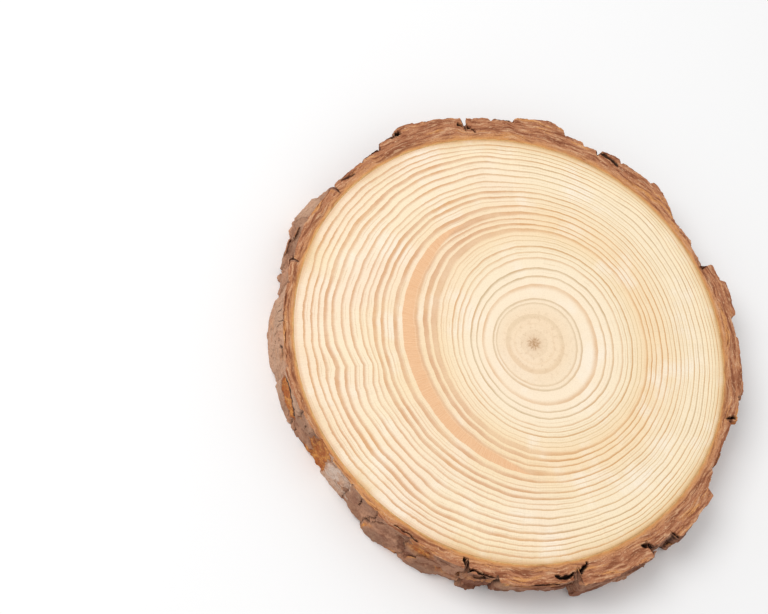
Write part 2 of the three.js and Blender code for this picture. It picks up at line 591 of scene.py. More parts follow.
def default_years() -> tuple[Year, ...]:
    """Returns the years from the pith to the bark."""
    return (
        Year(0.070, 0.30, 0.30, 0.12, Tone.GREY),
        Year(0.108, 0.40, 0.40, 0.12, Tone.TAN),
        Year(0.156, 0.66, 0.66, 0.30, Tone.GREY),
        Year(0.226, 0.24, 0.24, 0.52, Tone.GREY),
        Year(0.251, 0.60, 0.60, 0.62, Tone.GREY),
        Year(0.334, 0.46, 0.34, 0.72, Tone.PINK),
        Year(0.377, 0.38, 0.34, 0.78, Tone.GREY),
        Year(0.417, 0.44, 0.40, 0.85, Tone.GREY),
        Year(0.468, 0.28, 0.24, 0.72, Tone.PINK),
        Year(0.493, 0.36, 0.44, 0.66, Tone.TAN),
        Year(0.520, 0.52, 0.40, 0.95, Tone.TAN),
        Year(0.546, 0.34, 0.22, 0.50, Tone.OLIVE),
        Year(0.566, 0.34, 0.34, 0.55, Tone.OLIVE),
        Year(0.599, 0.56, 0.70, 0.66, Tone.ORANGE),
        Year(0.622, 0.48, 0.66, 0.92, Tone.ORANGE),
        Year(0.645, 0.42, 0.50, 0.80, Tone.ORANGE),
        Year(0.678, 0.40, 0.90, 0.85, Tone.ORANGE),
        Year(0.708, 0.34, 0.56, 0.92, Tone.ORANGE),
        Year(0.729, 0.34, 0.26, 0.55, Tone.TAN),
        Year(0.751, 0.46, 0.60, 0.92, Tone.TAN),
        Year(0.777, 0.42, 0.58, 0.92, Tone.TAN),
        Year(0.796, 0.38, 0.44, 0.60, Tone.TAN),
        Year(0.816, 0.36, 0.46, 0.76, Tone.OLIVE),
        Year(0.848, 0.28, 0.40, 0.85, Tone.OLIVE),
        Year(0.874, 0.34, 0.42, 0.80, Tone.GREY),
        Year(0.903, 0.30, 0.46, 0.90, Tone.GREY),
        Year(0.928, 0.36, 0.56, 0.98, Tone.TAN),
        Year(0.945, 0.38, 0.44, 0.84, Tone.TAN),
        Year(0.962, 0.40, 0.42, 0.95, Tone.OLIVE),
        Year(0.981, 0.42, 0.40, 1.00, Tone.ORANGE),
        Year(1.000, 0.50, 0.50, 0.50, Tone.TAN),
    )


@dataclass(frozen=True)
class GrowthRings:
    """Where the rings run: round the pith, and drawn in towards it on the side of the compression wood."""

    pith: tuple[float, float] = (10.7, -0.1)
    heavy_side: tuple[float, float] = (178.0, 198.0)
    heavy_reach: tuple[float, float] = (138.0, 160.0)
    turning: tuple[float, float] = (0.2, 0.55)
    heavy_towards: float = 183.0
    drawn_in: tuple[tuple[float, float], ...] = (
        (0.0, 0.0), (0.12, 0.02), (0.17, 0.058), (0.24, 0.13), (0.34, 0.175), (0.45, 0.17),
        (0.55, 0.125), (0.75, 0.09), (0.9, 0.045), (1.0, 0.0),
    )
    dents: tuple[RingDent, ...] = (
        RingDent(190.5, 6.5, 0.74, 0.96, -0.017, True),
        RingDent(190.5, 8.0, 0.67, 0.78, -0.004),
        RingDent(172.0, 11.0, 0.76, 0.95, 0.009),
        RingDent(204.0, 6.0, 0.76, 0.94, 0.005),
        RingDent(236.0, 15.0, 0.84, 0.97, 0.010),
        RingDent(118.0, 14.0, 0.60, 0.74, -0.005),
        RingDent(104.0, 9.0, 0.78, 0.98, 0.009),
        RingDent(140.0, 9.0, 0.80, 0.96, -0.007),
        RingDent(48.0, 17.0, 0.86, 1.00, 0.016),
        RingDent(336.0, 11.0, 0.84, 1.00, 0.010),
        RingDent(300.0, 12.0, 0.80, 1.00, 0.007),
    )
    waves: tuple[RingWave, ...] = (
        RingWave(7, 0.0005, 20.0, 330.0),
        RingWave(12, 0.0005, 140.0, -480.0),
        RingWave(19, 0.0006, 250.0, 760.0),
        RingWave(31, 0.0005, 80.0, -1100.0),
        RingWave(47, 0.0003, 10.0, 1500.0),
    )
    wavy_side: float = 0.5
    wavy_from: float = 0.68
    wavy_over: float = 0.08
    still_heart: float = 0.35
    still_edge: float = 0.03
    dent_fade: float = 0.06
    drawn_fades: tuple[float, float] = (0.1, 0.04)
    heavy_edge: float = 118.0
    heavy_fade: float = 55.0
    crescent: tuple[float, float] = (110.0, 272.0)
    crescent_fades: tuple[float, float] = (30.0, 24.0)
    curve_samples: int = 200
    curve_smoothing: int = 17

    def drawn_at(self, reach: Array) -> Array:
        """Returns how far the rings are drawn in at a share of the radius, without corners."""
        place, height = zip(*self.drawn_in)
        even = np.linspace(-0.2, 1.2, self.curve_samples)
        kernel = np.ones(self.curve_smoothing) / self.curve_smoothing
        soft = np.convolve(np.interp(even, place, height), kernel, mode="same")
        heart, edge = self.drawn_fades
        return np.interp(reach, even, soft) * smooth(reach / heart) * smooth((1.0 - reach) / edge)

    def coordinate(self, turn: Array, reach: Array) -> Array:
        """Ring coordinate, which is the same all along one ring.

        Args:
            turn: Directions from the pith in degrees.
            reach: Shares of the way from the pith to the bark.

        Returns:
            Values from 0 at the pith to 1 at the bark.
        """
        start, end = self.turning
        outward = smooth((reach - start) / (end - start))
        side = mix(self.heavy_side[0], self.heavy_side[1], outward)
        widest = mix(self.heavy_reach[0], self.heavy_reach[1], outward)
        away = np.clip(np.abs(turn_between(turn, side)) / widest, 0.0, 1.0)
        rings = reach + 0.5 * (1.0 + np.cos(away * math.pi)) * self.drawn_at(reach)
        for dent in self.dents:
            near = 1.0 - np.abs(turn_between(turn, dent.towards)) / dent.half_width
            across = np.clip(near, 0.0, 1.0) if dent.pointed else smooth(near)
            begun = smooth((rings - dent.inner) / self.dent_fade)
            within = begun * smooth((dent.outer - rings) / self.dent_fade)
            rings = rings - dent.rise * across * within
        wave = np.zeros(turn.shape)
        for each in self.waves:
            turned = each.crests * turn + each.start + each.drift * rings
            wave = wave + each.height * np.cos(np.radians(turned))
        wavy = 1.0 + self.wavy_side * self.heavy(turn) * smooth((rings - self.wavy_from) / self.wavy_over)
        moved = wave * wavy * smooth(reach / self.still_heart)
        return rings - moved * smooth((1.0 - reach) / self.still_edge)

    def heavy(self, turn: Array) -> Array:
        """Returns how far each direction lies on the side of the compression wood, from 0 to 1."""
        off = np.abs(turn_between(turn, self.heavy_towards))
        return smooth((self.heavy_edge - off) / self.heavy_fade)

    def crescent_at(self, turn: Array) -> Array:
        """Returns the crescent's share of its full width at each direction."""
        start, end = self.crescent
        first, last = self.crescent_fades
        return smooth((turn - start) / first) * smooth((end - turn) / last)


@dataclass(frozen=True)
class SandedWoodFinish:
    """Sawn and sanded pine end grain."""

    years: tuple[Year, ...] = field(default_factory=default_years)
    early: tuple[tuple[float, str], ...] = (
        (0.00, "#F0D4B2"), (0.06, "#F8DFBE"), (0.14, "#F8DEBC"), (0.20, "#F9E2C2"), (0.27, "#FEEACD"),
        (0.40, "#FEEBCD"), (0.50, "#FBE8C6"), (0.58, "#FADFB6"), (0.68, "#FAE0B8"), (0.76, "#FBE6C2"),
        (0.84, "#FDEAC9"), (0.94, "#FDE9C5"), (0.963, "#F8E2BC"), (0.985, "#F1D5AA"), (1.00, "#DFB47E"),
    )
    blush: str = "#FCE5CA"
    bleached: str = "#FFF2DF"
    wide_late: str = "#DFB088"
    glowing_late: str = "#E2AE78"
    crescent: str = "#EDB98B"
    crescent_streak: str = "#F3C69B"
    line: str = "#CD9D68"
    pith: str = "#B58A60"
    widening: float = 1.26
    faint_line: float = 0.3
    heart_flecks: float = 0.22
    crescent_width: float = 0.041
    crescent_end: float = 0.678
    roughness: float = 0.62
    late_polish: float = 0.07

    def age_curve(self, graph: Graph, rings: Socket) -> Socket:
        """Returns the age in years at a ring coordinate, with the part of the year as its fraction."""
        node = graph.add("ShaderNodeFloatCurve")
        curve = node.mapping.curves[0]
        for count, year in enumerate(self.years[:-1], start=1):
            curve.points.new(year.end, count / len(self.years))
        for point in curve.points:
            point.handle_type = "VECTOR"
        node.mapping.update()
        graph.feed(node.inputs["Value"], rings)
        return graph.maths("MULTIPLY", node.outputs[0], float(len(self.years)))

    def per_year(self, graph: Graph, age: Socket, colour_of: Callable[[Year], Sequence[float]]) -> Socket:
        """Looks a colour up for the year that an age lies in.

        Args:
            graph: The material's graph.
            age: The age in years.
            colour_of: Gives the colour of a year.

        Returns:
            The colour's socket.
        """
        middle = graph.maths("ADD", graph.maths("FLOOR", age), 0.5)
        steps = [(count / len(self.years), colour_of(year)) for count, year in enumerate(self.years)]
        return graph.ramp(graph.maths("DIVIDE", middle, float(len(self.years))), steps, "CONSTANT")

    def latewood(self, graph: Graph, phase: Socket, share: Socket) -> Socket:
        """Returns how dark the latewood is: it deepens through the end of the year and stops short."""
        begin = graph.maths("SUBTRACT", 1.0, share)
        rise = graph.maths("MINIMUM", graph.product(share, 0.85), 0.42)
        risen = graph.maths("DIVIDE", graph.maths("SUBTRACT", phase, begin), rise)
        return graph.product(graph.span(risen, 0.0, 1.0), graph.span(phase, 0.93, 1.0, 1.0, 0.3))

    def crescent_share(self, graph: Graph, rings: Socket) -> Socket:
        """Returns how far each place lies in the crescent of compression wood."""
        band = graph.attribute("crescent")
        start = graph.maths("MULTIPLY_ADD", band, -self.crescent_width, self.crescent_end)
        inner = graph.span(rings, start, graph.total(start, 0.012))
        outer = graph.span(rings, self.crescent_end - 0.002, self.crescent_end + 0.001, 1.0, 0.0)
        return graph.product(inner, outer, graph.span(band, 0.02, 0.25))

    def looks_of(self, year: Year) -> tuple[float, float, float, float]:
        """Returns a year's two latewood shares and its depth, packed as a colour."""
        return (year.late, min(1.0, self.widening * year.wide), year.depth, 1.0)

    def early_colour(self, graph: Graph, rings: Socket, heavy: Socket) -> Socket:
        """Returns the colour of the earlywood, with its blush and its bleached patches."""
        place = graph.cross_place()
        colour = graph.ramp(rings, [(at, linear(tone)) for at, tone in self.early])
        broad = graph.span(graph.noise(place, 22.0), 0.35, 0.65)
        blush = graph.product(broad, heavy, graph.span(rings, 0.5, 0.8, 0.3, 0.9))
        colour = graph.blend(blush, colour, linear(self.blush))
        clouds = graph.span(graph.noise(place, 38.0, 3.0, 0.6), 0.5, 0.7, 0.0, 0.6)
        bleached = graph.product(clouds, graph.span(rings, 0.1, 0.3))
        return graph.blend(bleached, colour, linear(self.bleached))

    def late_colour(self, graph: Graph, rings: Socket, heavy: Socket, age: Socket) -> Socket:
        """Returns the colour of the latewood, warmer on the side of the compression wood."""
        narrow = self.per_year(graph, age, lambda year: linear(year.tone.value))
        widened = graph.product(heavy, graph.span(rings, 0.42, 0.6))
        colour = graph.blend(widened, narrow, linear(self.wide_late))
        glow = graph.span(graph.noise(graph.cross_place(), 34.0), 0.45, 0.65, 0.0, 0.6)
        return graph.blend(glow, colour, linear(self.glowing_late))

    def with_fine_lines(self, graph: Graph, colour: Socket, rings: Socket, phase: Socket) -> Socket:
        """Returns the colour with the faint lines inside the years and the flecks of the heart."""
        place = graph.cross_place()
        off_middle = graph.maths("ABSOLUTE", graph.maths("SUBTRACT", phase, 0.4))
        broken = graph.span(graph.noise(place, 60.0), 0.46, 0.62)
        faint = graph.product(graph.span(off_middle, 0.09, 0.02), broken, self.faint_line)
        faint = graph.product(faint, graph.span(rings, 0.3, 0.5))
        lined = graph.blend(faint, colour, linear(self.line))
        flecks = graph.span(graph.noise(place, 430.0, 3.0, 0.65), 0.5, 0.7)
        flecks = graph.product(flecks, graph.span(rings, 0.3, 0.08), self.heart_flecks)
        return graph.blend(flecks, lined, linear(self.pith))

    def ring_colour(self, graph: Graph, rings: Socket, strokes: Socket) -> tuple[Socket, Socket]:
        """Colour of the rings.

        Args:
            graph: The material's graph.
            rings: The ring coordinate.
            strokes: Noise drawn out along the rays.

        Returns:
            The colour, and how far each place is latewood.
        """
        heavy = graph.attribute("heavy")
        age = self.age_curve(graph, rings)
        phase = graph.maths("FRACT", age)
        looks = graph.add("ShaderNodeSeparateColor")
        graph.feed(looks.inputs[0], self.per_year(graph, age, self.looks_of))
        late = self.latewood(graph, phase, graph.between(heavy, looks.outputs[0], looks.outputs[1]))
        patchy = graph.span(graph.noise(graph.cross_place(), 45.0, 3.0, 0.6), 0.3, 0.68, 0.62, 1.12)
        strength = graph.product(looks.outputs[2], patchy)
        shown = graph.maths("MULTIPLY", late, strength, clamp=True)
        early_colour = self.early_colour(graph, rings, heavy)
        colour = graph.blend(shown, early_colour, self.late_colour(graph, rings, heavy, age))
        edge = graph.product(graph.span(phase, 0.66, 0.9), graph.span(phase, 0.95, 1.0, 1.0, 0.0))
        edge = graph.product(edge, strength, graph.span(rings, 0.2, 0.5, 0.05, 0.42))
        edge = graph.product(edge, graph.span(heavy, 0.0, 1.0, 1.0, 0.4))
        colour = graph.blend(edge, colour, linear(self.line))
        colour = self.with_fine_lines(graph, colour, rings, phase)
        streaked = graph.span(strokes, 0.35, 0.65)
        crescent = graph.blend(streaked, linear(self.crescent), linear(self.crescent_streak))
        return graph.blend(self.crescent_share(graph, rings), colour, crescent), late

    def material(self, pith: Array) -> bpy.types.Material:
        """Builds the material.

        Args:
            pith: The pith's place in the part's frame, in millimetres.

        Returns:
            The material, which reads the attributes rings, heavy and crescent.
        """
        material, graph, shader = new_material("sanded_wood")
        place = graph.cross_place()
        wander = graph.sway(graph.noise(place, 95.0), 0.0024)
        tremble = graph.sway(graph.noise(place, 420.0), 0.0018)
        rings = graph.maths("ADD", graph.attribute("rings"), graph.total(wander, tremble), clamp=True)
        rays = StemGrain.grain(graph, pith, (210.0, 0.0, 0.0))
        strokes = StemGrain.grain(graph, pith, (300.0, 110.0, 0.0))
        specks = graph.noise(place, 1500.0, 2.0, 0.65)
        colour, late = self.ring_colour(graph, rings, strokes)
        ray_tone = graph.span(rays, 0.25, 0.75, 0.962, 1.015)
        stroke_tone = graph.span(strokes, 0.25, 0.75, 0.965, 1.02)
        speck_tone = graph.span(specks, 0.3, 0.6, 0.93, 1.0)
        toned = graph.vector("SCALE", colour)
        graph.feed(toned.inputs["Scale"], graph.product(ray_tone, stroke_tone, speck_tone))
        graph.feed(shader.inputs["Base Color"], self.with_pith(graph, pith, toned.outputs[0]))
        polished = self.roughness - self.late_polish
        graph.feed(shader.inputs["Roughness"], graph.span(late, 0.0, 1.0, self.roughness, polished))
        shader.inputs["Specular IOR Level"].default_value = 0.3
        bump = graph.add("ShaderNodeBump")
        bump.inputs["Strength"].default_value = 0.35
        bump.inputs["Distance"].default_value = 0.12 * MM
        relief = graph.total(graph.product(late, 0.35), graph.product(strokes, 0.4))
        relief = graph.total(relief, graph.product(specks, 0.35))
        graph.feed(bump.inputs["Height"], relief)
        graph.feed(shader.inputs["Normal"], bump.outputs[0])
        return material

    def with_pith(self, graph: Graph, pith: Array, colour: Socket) -> Socket:
        """Returns the colour with the pith's brown star and the haze round it laid over it."""
        middle = (float(pith[0]) * MM, float(pith[1]) * MM, 0.0)
        offset = graph.vector("SUBTRACT", graph.cross_place(), middle).outputs[0]
        reach = graph.maths("DIVIDE", graph.vector("LENGTH", offset).outputs["Value"], MM)
        points = StemGrain.grain(graph, pith, (2.6, 60.0, 0.0))
        ragged = graph.total(reach, graph.sway(points, 3.5))
        grain = graph.noise(graph.cross_place(), 900.0, 2.0, 0.6)
        star = graph.product(graph.span(ragged, 3.9, 1.6), graph.span(grain, 0.3, 0.62, 0.25, 0.85))
        tinted = graph.blend(graph.span(ragged, 8.5, 3.0, 0.0, 0.12), colour, linear(self.pith))
        return graph.blend(star, tinted, linear(self.pith))


@dataclass(frozen=True)
class WoodDisc:
    """The sawn disc of wood."""

    stem: Stem
    rings: GrowthRings = field(default_factory=GrowthRings)
    finish: SandedWoodFinish = field(default_factory=SandedWoodFinish)
    gap: float = 0.04
    spokes: int = 480
    circles: int = 56
    map_radius: float = 0.484
    map_side: tuple[float, float] = (0.486, 0.497)
    search_steps: int = 12
    weld: float = 0.001
    sharp: float = 40.0

    def reach(self, turn: Array) -> Array:
        """Returns the distance from the pith to the wood's edge in each direction."""
        x0, y0 = self.rings.pith
        distance = np.full(np.shape(turn), self.stem.radius)
        for _ in range(self.search_steps):
            x = x0 + distance * np.cos(np.radians(turn))
            y = y0 + distance * np.sin(np.radians(turn))
            distance = distance + self.stem.edge(np.degrees(np.arctan2(y, x))) - self.gap - np.hypot(x, y)
        return distance

    def lay_out(self, mesh: bpy.types.Mesh, turn: Array, row: Array, reach: Array) -> None:
        """Lays the two faces, which look the same, over each other in the UV map, and the side round them."""
        corners = corner_points(mesh)
        rows = row[corners]
        radius = reach[corners] * self.map_radius
        beside = (rows.min(axis=1) == self.circles)[:, None]
        low, high = self.map_side
        radius = np.where(beside, np.where(rows > self.circles, low, high), radius)
        around = np.radians(turn[corners])
        write_map(mesh, 0.5 + radius * np.cos(around), 0.5 + radius * np.sin(around))

    def build(self) -> bpy.types.Object:
        """Builds and dresses the disc.

        Returns:
            The finished piece.
        """
        pith = self.stem.centre + np.array(self.rings.pith)
        shell = unit_grid(self.spokes, 2 * self.circles + 1)
        piece = finish_piece("sanded_disc", shell, self.finish.material(pith))
        mesh = piece.data
        grid = read_points(mesh)
        turn = grid[:, 0] / self.spokes * FULL_TURN
        row = np.round(grid[:, 1])
        upper = row > self.circles
        reach = np.where(upper, 2 * self.circles + 1 - row, row) / self.circles
        height = np.where(upper, self.stem.thickness, 0.0)
        distance = self.reach(turn) * reach
        x = pith[0] + distance * np.cos(np.radians(turn))
        y = pith[1] + distance * np.sin(np.radians(turn))
        write_points(mesh, np.stack([x, y, height], axis=1) * MM)
        write_values(mesh, "rings", self.rings.coordinate(turn, reach))
        write_values(mesh, "heavy", self.rings.heavy(turn))
        write_values(mesh, "crescent", self.rings.crescent_at(turn))
        self.lay_out(mesh, turn, row, reach)
        close_shell(mesh, self.sharp, weld=self.weld)
        return piece


# Bark

@dataclass(frozen=True)
class Plate:
    """One bark plate: where it starts, its skin beyond the wood at its two ends, its seam's depth, its looks.

    scurf is how much of it the pale weathered skin covers, rust how much shows fresh orange layers, calm how
    much its scales are flattened, and slope how far its upper edge leans in.
    """

    start: float
    skin: tuple[float, float]
    seam: float
    scurf: float = 0.45
    rust: float = 0.1
    calm: float = 0.0
    slope: float = 0.0


@dataclass(frozen=True)
class SideForm:
    """A flake raised on the side, or a hollow sunk into it, as the CAD source gives it."""

    angle: float
    height: float
    width: float
    tall: float
    rise: float
    edge: float


@dataclass(frozen=True)
class Crevice:
    """A gap in the upper sawn face, cut in and darkened with painted shade by its depth, between two points
    given as angle and radius.
    """

    start: tuple[float, float]
    end: tuple[float, float]
    half_width: float
    depth: float


@dataclass(frozen=True)
class Slit:
    """A thin crack down the outer side, cut in and darkened with painted shade, between two points given as
    angle and height.
    """

    start: tuple[float, float]
    end: tuple[float, float]
    half_width: float = 0.55
    depth: float = 1.6


def default_plates() -> tuple[Plate, ...]:
    """Returns the plates counter-clockwise from +X."""
    return (
        Plate(5.0, (9.8, 9.0), 0.6),
        Plate(10.0, (12.2, 12.2), 0.4),
        Plate(19.5, (10.2, 9.8), 0.8),
        Plate(24.5, (4.2, 4.0), 1.2, 0.2, 0.4),
        Plate(31.0, (6.0, 6.2), 0.4),
        Plate(40.0, (6.8, 10.8), 0.4),
        Plate(44.5, (11.0, 13.4), 0.3, 0.3),
        Plate(49.0, (11.3, 11.5), 0.6),
        Plate(58.0, (12.4, 11.6), 1.4),
        Plate(64.0, (10.9, 9.8), 2.6),
        Plate(68.0, (10.9, 10.6), 0.8),
        Plate(73.5, (13.3, 17.0), 0.6),
        Plate(77.5, (17.0, 13.4), 0.2),
        Plate(87.0, (12.4, 12.6), 1.5),
        Plate(92.5, (12.6, 12.4), 1.2),
        Plate(99.5, (12.8, 14.4), 7.6),
        Plate(109.0, (14.0, 13.4), 1.0),
        Plate(118.0, (11.4, 9.8), 2.4),
        Plate(123.0, (8.8, 7.6), 1.8),
        Plate(129.0, (7.2, 7.0), 1.0),
        Plate(139.5, (9.8, 10.6), 3.6, 0.98, 0.0, 0.6, 3.2),
        Plate(151.0, (10.2, 8.8), 0.8, 0.85, 0.0, 0.3, 2.6),
        Plate(162.0, (8.6, 6.8), 4.2, 0.9, 0.0, 0.3, 1.2),
        Plate(168.0, (5.8, 5.4), 0.8, 1.0, 0.0, 0.9),
        Plate(189.5, (6.4, 5.0), 0.8, 0.95, 0.0, 0.9),
        Plate(201.0, (4.4, 3.2), 1.0, 0.8, 0.0, 0.6),
        Plate(209.0, (2.2, 2.2), 0.3, 0.1, 0.72, 0.6),
        Plate(214.5, (3.6, 3.4), 0.3, 1.22, 0.0, 0.7),
        Plate(222.5, (3.4, 4.4), 0.9, 0.65, 0.0, 0.4),
        Plate(231.0, (5.4, 5.8), 1.2, 0.6, 0.05, 0.5),
        Plate(241.0, (6.4, 7.2), 0.9, 0.6, 0.1, 0.4),
        Plate(255.5, (8.4, 7.8), 5.6, 0.4, 0.1, 0.0),
        Plate(263.0, (10.0, 10.0), 2.4, 0.5, 0.1, 0.2),
        Plate(282.5, (13.2, 14.2), 6.8),
        Plate(302.0, (9.8, 9.8), 3.4),
        Plate(308.5, (13.4, 12.8), 1.2),
        Plate(323.5, (8.8, 6.2), 0.8),
        Plate(328.5, (5.6, 6.4), 0.3, 0.3, 0.4),
        Plate(342.5, (9.4, 8.8), 2.6),
        Plate(349.5, (11.0, 10.2), 1.0),
    )


def default_forms() -> tuple[SideForm, ...]:
    """Returns the raised flakes and sunk hollows of the outer side."""
    return (
        SideForm(147.0, 9.0, 12.0, 30.0, 2.3, 0.3),
        SideForm(179.0, 8.0, 20.0, 30.0, 1.9, 0.15),
        SideForm(218.0, 16.0, 7.0, 11.0, 0.9, 0.15),
        SideForm(240.0, 4.0, 24.0, 26.0, 1.8, 0.3),
        SideForm(272.0, 0.0, 26.0, 30.0, -3.6, 0.9),
    )


def default_crevices() -> tuple[Crevice, ...]:
    """Returns the gaps of the upper face, which painted shade darkens."""
    return (
        Crevice((24.3, 112.7), (24.8, 115.2), 0.8, 4.0),
        Crevice((58.5, 117.5), (63.5, 119.0), 1.3, 1.9),
        Crevice((64.0, 117.0), (64.4, 120.5), 0.9, 4.0),
        Crevice((87.0, 120.2), (92.0, 121.0), 0.7, 3.0),
        Crevice((98.2, 115.2), (101.0, 117.6), 1.0, 6.0),
        Crevice((97.0, 112.6), (98.4, 115.3), 0.5, 3.0),
        Crevice((116.5, 120.4), (120.6, 120.6), 1.0, 6.0),
        Crevice((123.5, 118.2), (127.6, 117.8), 1.2, 5.0),
        Crevice((132.6, 113.6), (136.4, 115.4), 1.1, 1.0),
        Crevice((139.2, 113.6), (139.8, 117.6), 0.9, 5.0),
        Crevice((161.4, 118.2), (162.4, 119.2), 1.0, 5.0),
        Crevice((254.4, 113.4), (256.0, 118.8), 1.1, 6.0),
        Crevice((255.6, 117.0), (262.0, 119.0), 0.8, 5.0),
        Crevice((281.2, 119.4), (285.2, 113.2), 1.3, 6.0),
        Crevice((277.4, 118.2), (283.4, 116.8), 1.1, 5.0),
        Crevice((300.8, 115.6), (302.6, 119.5), 1.4, 6.0),
        Crevice((308.6, 119.6), (309.2, 122.4), 0.9, 5.0),
        Crevice((343.2, 114.6), (343.8, 117.6), 0.9, 5.0),
        Crevice((171.0, 114.2), (187.0, 113.9), 0.4, 0.8),
        Crevice((236.0, 113.6), (243.0, 114.2), 0.5, 1.2),
    )


def default_slits() -> tuple[Slit, ...]:
    """Returns the thin cracks of the outer side."""
    return (
        Slit((226.5, 22.0), (226.2, 12.6), 0.9, 1.8),
        Slit((234.0, 22.5), (230.2, 8.6), 0.9, 2.0),
        Slit((245.0, 21.5), (247.5, 18.0), 0.8, 1.5),
        Slit((172.8, 19.5), (175.6, 15.6), 0.8, 0.8),
        Slit((170.8, 11.5), (171.6, 6.5), 0.9, 0.7),
        Slit((178.8, 21.6), (180.2, 13.6), 1.0, 1.1),
        Slit((176.8, 10.8), (177.4, 8.0), 0.8, 0.7),
        Slit((173.4, 22.0), (175.8, 20.6), 0.9, 0.6),
        Slit((171.2, 18.0), (172.6, 16.4), 0.8, 0.6),
        Slit((176.4, 18.8), (178.2, 16.0), 0.9, 0.8),
        Slit((181.6, 14.6), (183.4, 10.4), 0.9, 0.8),
        Slit((180.4, 19.4), (184.6, 20.2), 1.0, 1.1),
        Slit((184.4, 20.2), (188.0, 17.4), 1.2, 1.4),
        Slit((187.8, 17.6), (189.4, 13.4), 1.1, 1.2),
        Slit((183.2, 7.0), (184.0, 3.4), 0.8, 0.8),
        Slit((199.8, 8.0), (202.4, 0.0), 0.9, 2.0),
        Slit((203.6, 21.0), (205.6, 9.0), 0.8, 1.4),
        Slit((206.6, 22.5), (208.6, 15.0), 0.75, 1.2),
        Slit((218.0, 8.0), (221.5, 6.4), 0.75, 1.0),
        Slit((237.0, 19.5), (241.0, 17.2), 0.75, 1.0),
        Slit((249.0, 20.5), (253.0, 19.2), 0.75, 1.1),
    )


@dataclass(frozen=True)
class Pocket:
    """A hollow in the outer side, pointed at both ends, that bares fresh orange layers, with painted shadow
    along its upper edge.
    """

    start: tuple[float, float]
    end: tuple[float, float]
    half_width: float
    depth: float


def default_pockets() -> tuple[Pocket, ...]:
    """Returns the pockets of the outer side, their ends given as angle and height."""
    return (
        Pocket((190.2, 19.8), (200.8, 6.4), 5.2, 1.4),
        Pocket((64.0, 15.0), (69.0, 5.0), 1.8, 1.6),
        Pocket((331.0, 18.0), (337.0, 8.0), 2.2, 1.8),
    )


def along_stretch(angle: Array, along: Array, ends: Sequence[tuple[float, float]],
                  radius: float) -> tuple[Array, Array, Array]:
    """Places on the unrolled stem, measured from a short straight stretch.

    Args:
        angle: The points' angles in degrees.
        along: Their second coordinate in millimetres.
        ends: The two ends of the stretch, as angle and second coordinate.
        radius: The radius that turns angles into lengths, in millimetres.

    Returns:
        Distances in millimetres, shares of the way along the stretch, and distances to its left.
    """
    arc = math.radians(1.0) * radius
    (start, low), (end, high) = ends
    x = turn_between(angle, start) * arc
    y = along - low
    run = (end - start) * arc
    rise = high - low
    share = (x * run + y * rise) / (run * run + rise * rise)
    held = np.clip(share, 0.0, 1.0)
    beside = (run * y - rise * x) / math.hypot(run, rise)
    return np.hypot(x - held * run, y - held * rise), share, beside


